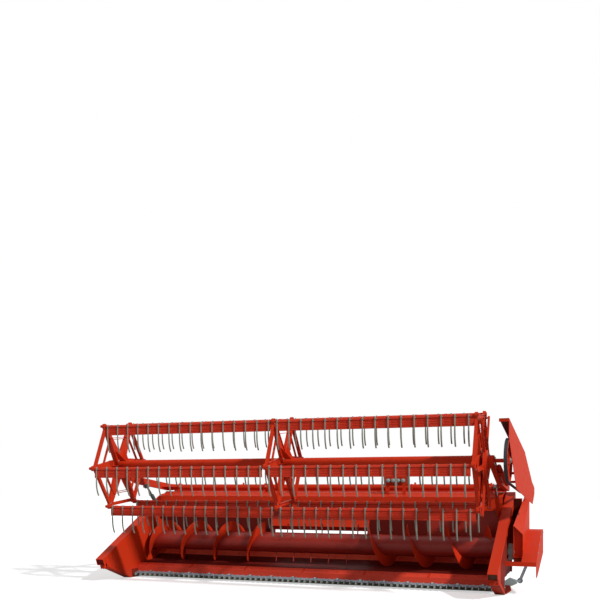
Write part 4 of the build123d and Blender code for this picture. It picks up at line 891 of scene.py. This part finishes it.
@dataclass(frozen=True)
class ArmFittings:
    """Bearing caps, gussets, clamps and knobs of the reel arms and the lift tube.

    Args:
        arm_x: middle of an arm's thickness.
        half: half of its thickness.
        reel: depth and height of the reel shaft.
        knee: depth and height of the arm's bend.
        pivot: depth and height of the lift tube.
        tube: radius of the lift tube.
        clamps: x of the tube's clamps.
        knobs: x of its two knobs.
        lug: x, depth and height of a cylinder's lug.
    """

    arm_x: float = 2500.0
    half: float = 25.0
    reel: Pair = (0, 1555)
    knee: Pair = (640, 1350)
    pivot: Pair = (1500, 1255)
    tube: float = 42.0
    clamps: tuple[float, ...] = (-2282, -874, 874, 2282)
    knobs: Pair = (-1249, 1292)
    lug: Point = (2440, 790, 1268)

    def caps(self) -> None:
        """Bearing caps, knee plates and gussets of the arms, with their bolts."""
        caps = Form("arm_bearing_caps", "reel_arms", Finish.RED)
        heads = Form("arm_bolts", "reel_arms", Finish.ZINC)
        ring = [(30, 0), (56, 0), (58, 3), (58, 9), (46, 13), (30, 13)]
        turn = np.arange(4) * np.pi / 2 + 0.7
        circle = places(0.0, np.cos(turn), np.sin(turn)) * 51.0
        depth, height = self.knee
        plate = rounded((depth - 70.0, height + 18.0), (depth + 80.0, height - 5.0), 84.0)
        spread = np.array([(0, -60, 17), (0, -15, 4), (0, 30, 2), (0, 72, -4)])
        rear, height = self.pivot
        for way in (-1, 1):
            outward = (way, 0.0, 0.0)
            face, inner = way * (self.arm_x + self.half), way * (self.arm_x - self.half)
            caps.add(turned(ring, (face, *self.reel), outward, 28))
            heads.add(bolts(np.array((face, *self.reel)) + circle + (way * 9.0, 0.0, 0.0), outward))
            caps.add(slab(plate, face, way * (self.arm_x + self.half + 6.0)))
            heads.add(bolts(np.array((face, *self.knee)) + spread + (way * 6.0, 0.0, 0.0), outward))
            gusset = [(inner, rear - 250.0), (inner, rear - 12.0), (inner - way * 190.0, rear - 12.0)]
            caps.add(slab(gusset, height + 4.0, height + 12.0, axis=2))
        caps.piece(bevel=1.5)
        heads.piece()

    def build(self) -> None:
        """Builds the arms' fittings."""
        self.caps()
        clamps = Form("lift_tube_clamps", "platform", Finish.RED)
        near, far = self.tube + 0.6, self.tube + 7.0
        band = [(near, -16.0), (far, -16.0), (far, 16.0), (near, 16.0), (near, -16.0)]
        spots = places(np.array(self.clamps), *self.pivot)
        clamps.add(turned(band, spots, sides=32), capped=False)
        clamps.add(copies(box((-15, -72, -8), (15, -44, 8)), spots))
        clamps.piece(bevel=1.0)
        studs = bolts(spots + (0, -60, 8), UP, 1.2)
        Form("lift_tube_clamp_bolts", "platform", Finish.ZINC, studs).piece()
        lugs = Form("cylinder_lug_castings", "reel_arms", Finish.GREY)
        boss = np.array([(13, -22), (34, -22), (34, -17), (13, -17)])
        for way in (-1, 1):
            centre = np.array(self.lug) * (way, 1.0, 1.0)
            lugs.add(turned(boss, centre, sides=24), turned(boss + (0, 39), centre, sides=24))
        lugs.piece()
        knob = [(14, 0), (14, 18), (9, 26)]
        spots = places(np.array(self.knobs), self.pivot[0], self.pivot[1] + 40.0)
        Form("lift_tube_knobs", "reel_arms", Finish.RED, turned(knob, spots, UP, 14)).piece()


@dataclass(frozen=True)
class AugerFittings:
    """Hatches, seam bands and end discs of the auger.

    Args:
        depth: of its axis.
        height: of its axis.
        tube: radius of the tube.
        half_width: inside of an end sheet.
        hatches: x where the two hatches start.
        bands: x of the bands over the tube's seams.
    """

    depth: float = 1000.0
    height: float = 505.0
    tube: float = 135.0
    half_width: float = 2476.5
    hatches: Pair = (-430, 330)
    bands: tuple[float, ...] = (-2330, -820, 820, 2330)

    def around(self, start: float, end: float, low: float, high: float, rise: float) -> Array:
        """Plate bent round the tube: x and angle on a grid, radius = tube + rise and back at the tube.

        Args:
            start: lowest x.
            end: highest x.
            low: first angle in degrees, 0 to the front and 90 upwards.
            high: last angle in degrees.
            rise: thickness.

        Returns:
            (2, points, 3) grid.
        """
        angle = np.radians(np.linspace(low, high, 14))
        arc = np.column_stack([-np.cos(angle), np.sin(angle)])
        outline = np.vstack([arc * (self.tube + rise), arc[::-1] * (self.tube - 1.0)])
        return slab(outline + (self.depth, self.height), start, end)

    def build(self) -> None:
        """Builds the auger's fittings."""
        hatch = Form("auger_hatches", "auger", Finish.AUGER_RED)
        for x in self.hatches:
            hatch.add(self.around(x, x + 200.0, 20.0, 75.0, 3.0))
        for x in self.bands:
            hatch.add(self.around(x - 12.0, x + 12.0, 0.0, 360.0 - 1e-3, 2.5))
        disc = [(26, 0), (150, 0), (154, 4), (154, 8), (26, 8)]
        for way in (-1, 1):
            centre = (way * (self.half_width - 40.0), self.depth, self.height)
            hatch.add(turned(disc, centre, (way, 0.0, 0.0), 40))
        hatch.piece()


@dataclass(frozen=True)
class Trough:
    """Seams, bolts, linings, strip, flap and box end of the platform; the linings and the box end are painted
    shade, the strip painted light.

    Args:
        auger: what turns in the trough.
        lip: depth and height of the lip's front top edge.
        crest: depth and height of the ramp's crest.
        box_front: depth of the top box's front face.
        box_bottom: its lower edge.
        wall: depth of the rear wall.
        bolt_row: first x, last x and count of the bolts along the lip and the box.
        seams: x of the seams between the sheets.
        opening: half of the feeder opening's width.
        flap: lowest and highest height of the flap in the opening.
        sill: the same of its sill.
        beside: the same of the rear wall's lining beside the opening.
        lining: radius of the lining's lower and upper face about the auger.
        strip: degrees behind the trough's lowest line between which the stripper strip lies.
        strip_x: where its pieces start, where they stop and their spacing.
    """

    auger: AugerFittings
    lip: Pair = (614, 146)
    crest: Pair = (705, 190)
    box_front: float = 1225.0
    box_bottom: float = 955.0
    wall: float = 1290.0
    bolt_row: tuple[float, float, int] = (-2400, 2400, 33)
    seams: tuple[float, ...] = (-1655, -828, 0, 828, 1655)
    opening: float = 709.0
    flap: Pair = (660, 722)
    sill: Pair = (338, 357)
    beside: Pair = (560, 950)
    lining: Pair = (289.5, 287)
    strip: Pair = (39, 56)
    strip_x: Triple = (-2380, 980, 240)

    def trim(self) -> None:
        """Bolts and seams along the platform, and the flap and sill of the feeder opening."""
        along = np.linspace(*self.bolt_row)
        front = places(along, self.box_front, self.box_bottom + 22.0)
        heads = Form("platform_bolts", "platform", Finish.RED, bolts(front, FORWARD, 0.9))
        lip, crest = np.array(self.lip), np.array(self.crest)
        slope = crest - lip
        normal = (0.0, -slope[1] / math.hypot(*slope), slope[0] / math.hypot(*slope))
        heads.add(bolts(places(along + 12.0, *(lip + crest) / 2), normal, 0.7))
        heads.piece()
        seams = Form("platform_seams", "platform", Finish.RED)
        outline = [lip + (-1, 1), lip + (-1, 4), crest + (0, 3.5), crest + (0, 0.5)]
        for x in self.seams:
            low = (x - 14.0, self.box_front - 3.0, self.box_bottom + 2.0)
            high = (x + 14.0, self.box_front, self.box_bottom + 150.0)
            seams.add(slab(outline, x - 14.0, x + 14.0), box(low, high))
        seams.piece(bevel=0.8)
        flap = Form("feeder_flap", "platform", Finish.RED)
        for (low, high), face in ((self.flap, self.wall - 6.0), (self.sill, self.wall + 1.0)):
            flap.add(box((-self.opening, face, low), (self.opening, face + 4.0, high)))
        flap.piece(bevel=0.8)

    def build(self) -> None:
        """Builds the platform's trim."""
        self.trim()
        edge, rear = self.auger.half_width - 3.0, self.wall - 5.0
        low, high = self.beside
        # Dark linings on the floor, the rear wall and the trough's curve: painted shade
        floor = [(712, 193.5), (1010, 217.5), (1010, 219.5), (712, 195.5)]
        lining = Form("trough_shade_lining", "platform", Finish.TROUGH_RED, slab(floor, -edge, edge))
        for left, right in ((-edge, -725), (725, 1500)):
            lining.add(box((left, rear, low), (right, rear + 3.0, high)))
        lining.add(slab(self.bent(2.0, self.strip[0]), -edge, edge))
        lining.piece()
        # Bright strip on the trough's curve: painted light, for sun that the auger's shade keeps off
        strip = Form("stripper_strip", "platform", Finish.STRIP_RED)
        outline = self.bent(*self.strip)
        pitch = self.strip_x[2]
        for start in np.arange(*self.strip_x):
            strip.add(slab(outline, start + 3.0, start + pitch - 3.0))
        strip.piece()
        self.box_end(-self.auger.half_width - 4.0)

    def bent(self, low: float, high: float) -> Array:
        """Outline of a sheet on the trough's curve: depth + r sin a and height - r cos a about the auger.

        Args:
            low: degrees a behind the trough's lowest line where it starts.
            high: degrees where it ends.

        Returns:
            (18, 2) outline of depth and height, at the lining's lower radius r and back at its upper one.
        """
        angle = np.radians(np.linspace(low, high, 9))
        depth, height = self.auger.depth, self.auger.height
        arcs = [np.column_stack([depth + r * np.sin(angle), height - r * np.cos(angle)]) for r in self.lining]
        return np.vstack([arcs[0], arcs[1][::-1]])

    def box_end(self, edge: float) -> None:
        """Cover over the left sheet's notch, and the top box's rounded end plate with its round rim, both in
        dark paint: painted shade for the shadowed notch and the dark inside of the box's open end.

        Args:
            edge: outer face of the end sheet.
        """
        notch = box((edge - 5.0, 428.0, 8.0), (edge - 1.0, 668.0, 122.0))
        Form("left_notch_cover", "platform", Finish.GREASED_RED, notch).piece(bevel=0.8)
        corners = [(1062, 960), (1088, 1049), (1159, 1108), (1276, 1147), (1445, 1162)]
        arch = curve(corners, 17)
        plate = slab(np.vstack([arch, [(1445, 1100), (1300, 960)]]), edge - 1, edge - 5)
        Form("left_box_end", "platform", Finish.GREASED_RED, plate).piece()
        rim = bar(places(edge - 3.0, *arch.T), 7.0, sides=10)
        Form("left_box_rim", "platform", Finish.RED, rim).piece()


@dataclass(frozen=True)
class CutterFittings:
    """Guard bolts and lower halves, rubbing sheet, hold-down clips and rivets of the knife.

    Args:
        pitch: of the guards.
        count: of the guards.
        bar: depth of the bar's front edge.
        bar_top: height of the bar's upper face.
        back: depth of the knife's back bar and height of its upper face.
    """

    pitch: float = 76.2
    count: int = 65
    bar: float = 585.0
    bar_top: float = 78.0
    back: Pair = (572, 70)

    def lower_half(self) -> Array:
        """Casting under a guard: depth, half width, lower and upper height at four stations.

        Returns:
            (4, 4, 3) grid, narrowing towards its tip.
        """
        stations = [(585, 23, 44, 59), (540, 21, 43, 59), (500, 12, 33, 52), (474, 4, 26, 36)]
        depth, half, bottom, top = np.array(stations).T
        sides = [(-half, bottom), (half, bottom), (half, top), (-half, top)]
        return np.stack([places(across, depth, height) for across, height in sides], axis=1)

    def build(self) -> None:
        """Builds the cutter bar's fittings."""
        guards = (np.arange(self.count) - (self.count - 1) / 2) * self.pitch
        bolt = [(9, 0), (9, 5), (6, 7)]
        upper = places(guards, self.bar + 12.0, self.bar_top)
        Form("guard_bolts", "platform", Finish.STEEL, turned(bolt, upper, UP, 6)).piece()
        sheet = box((-2470, 604, 12), (2470, 609, 66))
        Form("bar_rubbing_sheet", "platform", Finish.IRON, sheet).piece()
        halves = copies(self.lower_half(), places(guards, 0.0, 0.0))
        Form("guard_lower_halves", "platform", Finish.IRON, halves).piece(bevel=1.5)
        arch = curve([(600, 80), (588, 90), (574, 86), (560, 75)], 9)
        clip = slab(np.vstack([arch, arch[::-1] + (0, 6)]), -13, 13)
        clips = copies(clip, places(guards[2:-2:4] + self.pitch / 2, 0.0, 0.0))
        Form("knife_clips", "platform", Finish.STEEL, clips).piece()
        blades = (np.arange(self.count - 1) - (self.count - 2) / 2) * self.pitch
        twins = places(np.concatenate([blades - 14.0, blades + 14.0]), *self.back)
        rivet = [(5.5, -1), (5, 2), (2.5, 3.5)]
        Form("knife_rivets", "knife", Finish.STEEL, turned(rivet, twins, UP, 8)).piece()


@dataclass(frozen=True)
class Couplers:
    """Hydraulic couplers on their bracket: bodies, rims, plate and handle.

    Args:
        middle: x and height of the bracket's middle.
        face: depth of the bracket's front face.
        pitch: between two couplers.
        plate: half of its width, and how far it reaches below and above the middle.
        handle: x from the middle, and radius.
    """

    middle: Pair = (1072, 1345)
    face: float = 1318.0
    pitch: float = 68.0
    plate: Triple = (165, 68, 50)
    handle: Pair = (216, 7)

    def build(self) -> None:
        """Builds the couplers in place of their CAD node."""
        x, height = self.middle
        spots = places(x + (np.arange(4) - 1.5) * self.pitch, self.face, height)
        profile = [(26, 0), (26, 14), (20, 16), (20, 24), (25, 26), (25, 40), (14, 45)]
        body = Form("coupler_bodies", "platform", Finish.GREY, turned(profile, spots, FORWARD, 18))
        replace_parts(body.piece(), "couplers")
        ring = [(26.5, 0), (32, 0), (32, 4), (26.5, 4)]
        half, below, above = self.plate
        plate = box((x - half, self.face + 0.5, height - below), (x + half, self.face + 4.0, height + above))
        Form("coupler_rims", "platform", Finish.GREASED_RED, turned(ring, spots, FORWARD, 18), plate).piece()
        bend = curve([(self.face - 3.0, 1300.0), (self.face - 4.0, 1270.0), (self.face - 3.0, 1215.0)], 8)
        grip = bar(places(x + self.handle[0], *bend.T), self.handle[1])
        Form("coupler_handle", "platform", Finish.RED, grip).piece()


@dataclass(frozen=True)
class DriveEnd:
    """Bolts, covers, back panels, small rods and castings of the drive end.

    Args:
        plate_x: x of the outer guard plate.
        gearbox: lowest x, depth and height of the knife gearbox's middle.
        panels: lowest and highest corner of each panel behind the right divider.
        back: the same of the sheet behind the drive.
        edge_bolts: depth and height of the bolts along the guard plate's edge.
        shield: depth and height along the top of the reel shield.
        slant: how far the shield leans outwards for each millimetre of depth.
        shield_x: its x at a depth of -100.
    """

    plate_x: float = 2940.0
    gearbox: Point = (2600, 820, 480)
    panels: tuple[tuple[Point, Point], ...] = (
        ((2481, 1395, 330), (2593, 1399, 985)),
        ((2593, 1395, 330), (2690, 1399, 640)),
        ((2589.5, 636, 214), (2593.5, 1050, 405)),
        ((2666, 690, 345), (2774, 694, 424)),
    )
    back: tuple[Point, Point] = ((2594, 1384, 614), (2690, 1390, 1105))
    edge_bolts: tuple[Pair, ...] = ((700, 480), (900, 560), (1100, 640), (1300, 680), (1480, 680))
    shield: tuple[Pair, ...] = ((-94, 2009), (584, 1667), (928, 1319), (1044, 1248))
    slant: float = 0.15
    shield_x: float = 2700.0

    def build(self) -> None:
        """Builds the drive end's fittings."""
        x, depth, height = self.gearbox
        front = np.array([x + 32.0, depth - 75.0, height])
        cap = [(40, 0), (46, 4), (46, 12), (30, 18), (12, 20)]
        Form("gearbox_cover", "platform", Finish.GREY, turned(cap, front, FORWARD, 24)).piece(bevel=0.8)
        turn = np.arange(6) * np.pi / 3
        circle = places(np.cos(turn), 0.0, np.sin(turn)) * 38.0
        heads = Form("drive_end_bolts", "platform", Finish.ZINC)
        heads.add(bolts(front - (0, 11, 0) + circle, FORWARD, 0.7))
        heads.add(bolts(places(self.plate_x + 4.0, *np.array(self.edge_bolts).T), RIGHT, 0.9))
        heads.piece()
        self.sheets()
        self.shield_liner()
        self.knife_drive()

    def sheets(self) -> None:
        """Closes the gap behind the right divider and adds its rods, wing and the arm's strut."""
        # Dark back panels and the black-red rear sheet: painted shade for the deep shadow behind the divider
        # and the drive
        panels = [box(low, high) for low, high in self.panels]
        Form("drive_back_panel", "platform", Finish.GREASED_RED, *panels).piece(bevel=0.8)
        Form("drive_rear_sheet", "platform", Finish.CAKED_RED, box(*self.back)).piece()
        toe = [(2590, 109), (2650, 104), (2660, 54), (2602, 8), (2590, 8)]
        Form("divider_toe_wing", "platform", Finish.GREASED_RED, slab(toe, 500.0, 506.0, axis=1)).piece()
        rods = Form("drive_rods", "platform", Finish.RED)
        for lower, upper in ((2612, 2630), (2640, 2662)):
            rods.add(rod((lower, 1340.0, 560.0), (upper, 1340.0, 820.0), 7.0))
        rods.add(rod((2602, 503, 9), (2660, 503, 55), 8, REARWARD))
        rods.add(box((2592, 1044, 214), (2612, 1050, 405)))
        rods.add(box((2600, 1376, 765), (2664, 1390, 777)))
        rods.piece()
        strut = rod((2540, 330, 1500), (2576, 800, 1292), 27)
        Form("right_arm_strut", "reel_arms", Finish.RED, strut).piece(bevel=2.0)

    def shield_liner(self) -> None:
        """Brown sheet under the shield's top, 4 to 106 mm in from its slanted face and 4 mm thick: painted
        shade for the cover's shadowed underside.
        """
        depth, height = np.array(self.shield).T
        face = self.shield_x + self.slant * (depth + 100.0)
        lean = math.hypot(1.0, self.slant)
        edges = []
        for drop, inward in ((0, 4), (0, 106), (4, 106), (4, 4)):
            edges.append(places(face - inward / lean, depth + self.slant * inward / lean, height - drop))
        Form("shield_liner", "reel_arms", Finish.RUSTY, np.stack(edges, axis=1)).piece()

    def knife_drive(self) -> None:
        """Castings of the knife head and the lever's foot."""
        arm = [(2586, 96), (2660, 98), (2722, 126), (2722, 168), (2640, 196), (2586, 158)]
        head = Form("knife_head_casting", "knife", Finish.GREY)
        head.add(box((2536, 522, 84), (2588, 558, 153)), slab(arm, 528, 556, axis=1))
        head.piece(bevel=5.0)
        boss = turned([(20, 0), (32, 2), (32, 22), (20, 26)], (2750, 592, 157), REARWARD, 24)
        Form("lever_foot", "knife_lever", Finish.GREY, boss).piece(bevel=1.5)


@dataclass(frozen=True)
class EndTrim:
    """Bolts and shaded side of the dividers, and skid, mouth and plug of their noses.

    Args:
        face: x of a divider's outside.
        nose: x of the nose's inner and outer wall.
        bolt_line: depth and height of the bolts along a divider.
        side: depth and height of the corners of the shaded side.
    """

    face: float = 2593.5
    nose: Pair = (2483, 2591)
    bolt_line: tuple[Pair, ...] = ((330, 420), (620, 560), (910, 700), (1180, 840))
    side: tuple[Pair, ...] = ((60, 182), (430, 52), (430, 210), (636, 210), (636, 694), (60, 402))

    def build(self) -> None:
        """Builds the ends' trim."""
        heads = Form("divider_bolts", "platform", Finish.RED)
        for way in (-1, 1):
            spots = places(way * self.face, *np.array(self.bolt_line).T)
            heads.add(bolts(spots, (way, 0.0, 0.0), 0.9))
        heads.piece()
        self.nose_parts("left", -1.0, Finish.GREASED_RED)
        self.nose_parts("right", 1.0, Finish.RUSTY)

    def nose_parts(self, name: str, way: float, mouth: Finish) -> None:
        """Skid plate, mouth plate, round plug and shaded side of a nose.

        Args:
            name: of the end.
            way: 1 at the right end, -1 at the left.
            mouth: finish of the mouth plate.
        """
        near, far = way * self.nose[0], way * self.nose[1]
        skid = slab([(16, 149), (441, 0.5), (441, 5), (16, 155)], near, far)
        Form(f"{name}_nose_skid", "platform", Finish.RUSTY, skid).piece()
        outline = [(-205, 297), (-166, 226), (-162, 228), (-201, 299)]
        plate = slab(outline, near + way * 3.5, far - way * 3.5)
        Form(f"{name}_nose_mouth", "platform", mouth, plate).piece()
        dome = [(34, 0), (33, 14), (25, 26), (12, 32), (0.5, 33.5)]
        plug = Form(f"{name}_nose_plug", "platform", Finish.RED)
        plug.add(turned(dome, (way * 2527.0, -130.0, 206.0), FORWARD, 20))
        plug.add(box((min(near, far), -118.0, 172.0), (max(near, far), -106.0, 192.0)))
        plug.piece(bevel=0.8)
        # Thin dark plate on the divider's outside: painted shade, where the drive's guard plate would shade
        # this face
        shade = slab(self.side, way * (self.face + 0.2), way * (self.face + 1.4))
        Form(f"{name}_divider_side", "platform", Finish.GREASED_RED, shade).piece()


# Finish of each CAD node that isn't in the main red coat
CAD_FINISH = {
    "floor_pan": Finish.LIP_RED,
    "rear_wall": Finish.WORN_RED,
    "auger_tube": Finish.AUGER_RED,
    "auger_fingers": Finish.AUGER_RED,
    "cutterbar": Finish.STEEL,
    "left_lift_rod": Finish.DARK_GREY,
    "knife": Finish.STEEL,
    "knife_link": Finish.STEEL,
    "knife_lever": Finish.STEEL,
    "knife_gearbox": Finish.GREY,
    "left_lift_barrel": Finish.DARK_GREY,
    "right_lift_rod": Finish.ROD,
    "back_shaft": Finish.GREY,
    "reel_belt": Finish.BELT,
}


class CadShell:
    """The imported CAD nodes, repainted."""

    def dress(self) -> None:
        """Gives each CAD node its finish."""
        for name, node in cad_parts.items():
            node.data.materials.clear()
            node.data.materials.append(CAD_FINISH.get(name, Finish.RED).material())


@dataclass(frozen=True)
class Studio:
    """Camera, lamps and floor of the picture.

    Args:
        eye: camera place in the row frame, metres.
        yaw: degrees the camera is turned to the left of +Y.
        lens: focal length on a 36 mm wide sensor.
        rise: vertical shift as a share of the picture's width.
        sun_from: direction towards the sun.
        sun: strength of the sun.
        sun_size: degrees the sun spans; more makes softer shadows.
        sky: strength of the even sky light.
        floor_half: half of the floor's width, metres.
        floor_gap: how far the floor lies below the skids, metres.
        glow: light that the floor adds for the camera, so that shadows stay pale.
    """

    eye: Point = (3.721, -10.634, 0.765)
    yaw: float = 20.892
    lens: float = 48.456
    rise: float = 0.3102
    sun_from: Point = (1.9, -0.9, 1.55)
    sun: float = 2.7
    sun_size: float = 3.0
    sky: float = 0.35
    floor_half: float = 60.0
    floor_gap: float = 0.0005
    glow: float = 0.55

    def camera(self) -> None:
        """Places the level camera of the photo."""
        data = bpy.data.cameras.new("camera")
        data.sensor_width = 36.0
        data.lens = self.lens
        data.shift_y = self.rise
        data.clip_end = 200.0
        camera = bpy.data.objects.new("camera", data)
        camera.location = self.eye
        camera.rotation_euler = (math.radians(90.0), 0.0, math.radians(self.yaw))
        bpy.context.scene.collection.objects.link(camera)
        bpy.context.scene.camera = camera

    def lamps(self) -> None:
        """Adds the sun and an even sky; the camera and mirrored rays see a white room."""
        data = bpy.data.lights.new("sun", "SUN")
        data.energy = self.sun
        data.angle = math.radians(self.sun_size)
        lamp = bpy.data.objects.new("sun", data)
        x, y, z = self.sun_from
        lamp.rotation_euler = (math.atan2(math.hypot(x, y), z), 0.0, math.atan2(x, -y))
        bpy.context.scene.collection.objects.link(lamp)
        world = bpy.data.worlds.new("white_room")
        bpy.context.scene.world = world
        world.use_nodes = True
        tree = world.node_tree
        tree.nodes.clear()
        path = add_node(tree, "LightPath").outputs
        most = {"operation": "MAXIMUM"}
        seen = add_node(tree, "Math", most, in0=path["Is Glossy Ray"], in1=path["Is Transmission Ray"])
        seen = add_node(tree, "Math", most, in0=path["Is Camera Ray"], in1=seen.outputs[0])
        lit = add_node(tree, "Background", Color=linear("FFFFFF"), Strength=self.sky)
        white = add_node(tree, "Background", Color=linear("FFFFFF"), Strength=1.0)
        shaders = {"in1": lit.outputs[0], "in2": white.outputs[0]}
        both = add_node(tree, "MixShader", Fac=seen.outputs[0], **shaders)
        add_node(tree, "OutputWorld", Surface=both.outputs[0])

    def floor(self) -> None:
        """Lays a pale floor under the skids; its shadows stay light for the camera."""
        material, tree = new_material("pale_matt_floor")
        matt = add_node(tree, "BsdfDiffuse", Color=linear("B8B8B8"))
        pale = add_node(tree, "BsdfDiffuse", Color=linear("DADADA"))
        glow = add_node(tree, "Emission", Color=linear("FFFFFF"), Strength=self.glow)
        bright = add_node(tree, "AddShader", in0=pale.outputs[0], in1=glow.outputs[0])
        seen = add_node(tree, "LightPath").outputs["Is Camera Ray"]
        both = add_node(tree, "MixShader", Fac=seen, in1=matt.outputs[0], in2=bright.outputs[0])
        add_node(tree, "OutputMaterial", Surface=both.outputs[0])
        level = float(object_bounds()[0][2]) - self.floor_gap
        half = self.floor_half
        corners = [(-half, -half, level), (half, -half, level), (half, half, level), (-half, half, level)]
        data = bpy.data.meshes.new("floor")
        data.from_pydata(corners, [], [(0, 1, 2, 3)])
        data.materials.append(material)
        floor = bpy.data.objects.new("floor", data)
        bpy.context.scene.collection.objects.link(floor)
        floor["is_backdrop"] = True

    def build(self) -> None:
        """Sets up the whole studio."""
        self.camera()
        self.lamps()
        self.floor()
        bpy.context.scene.view_settings.view_transform = "Standard"


def main() -> None:
    """Builds the looks in order; each piece reports itself."""
    logging.basicConfig(level=logging.INFO, format="%(message)s")
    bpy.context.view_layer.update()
    CadShell().dress()
    bats = Bats()
    auger = AugerFittings()
    bats.build()
    ReelFittings(bats).build()
    ArmFittings().build()
    Trough(auger).build()
    auger.build()
    CutterFittings().build()
    Couplers().build()
    DriveEnd().build()
    EndTrim().build()
    Studio().build()


if __name__ == "__main__":
    main()
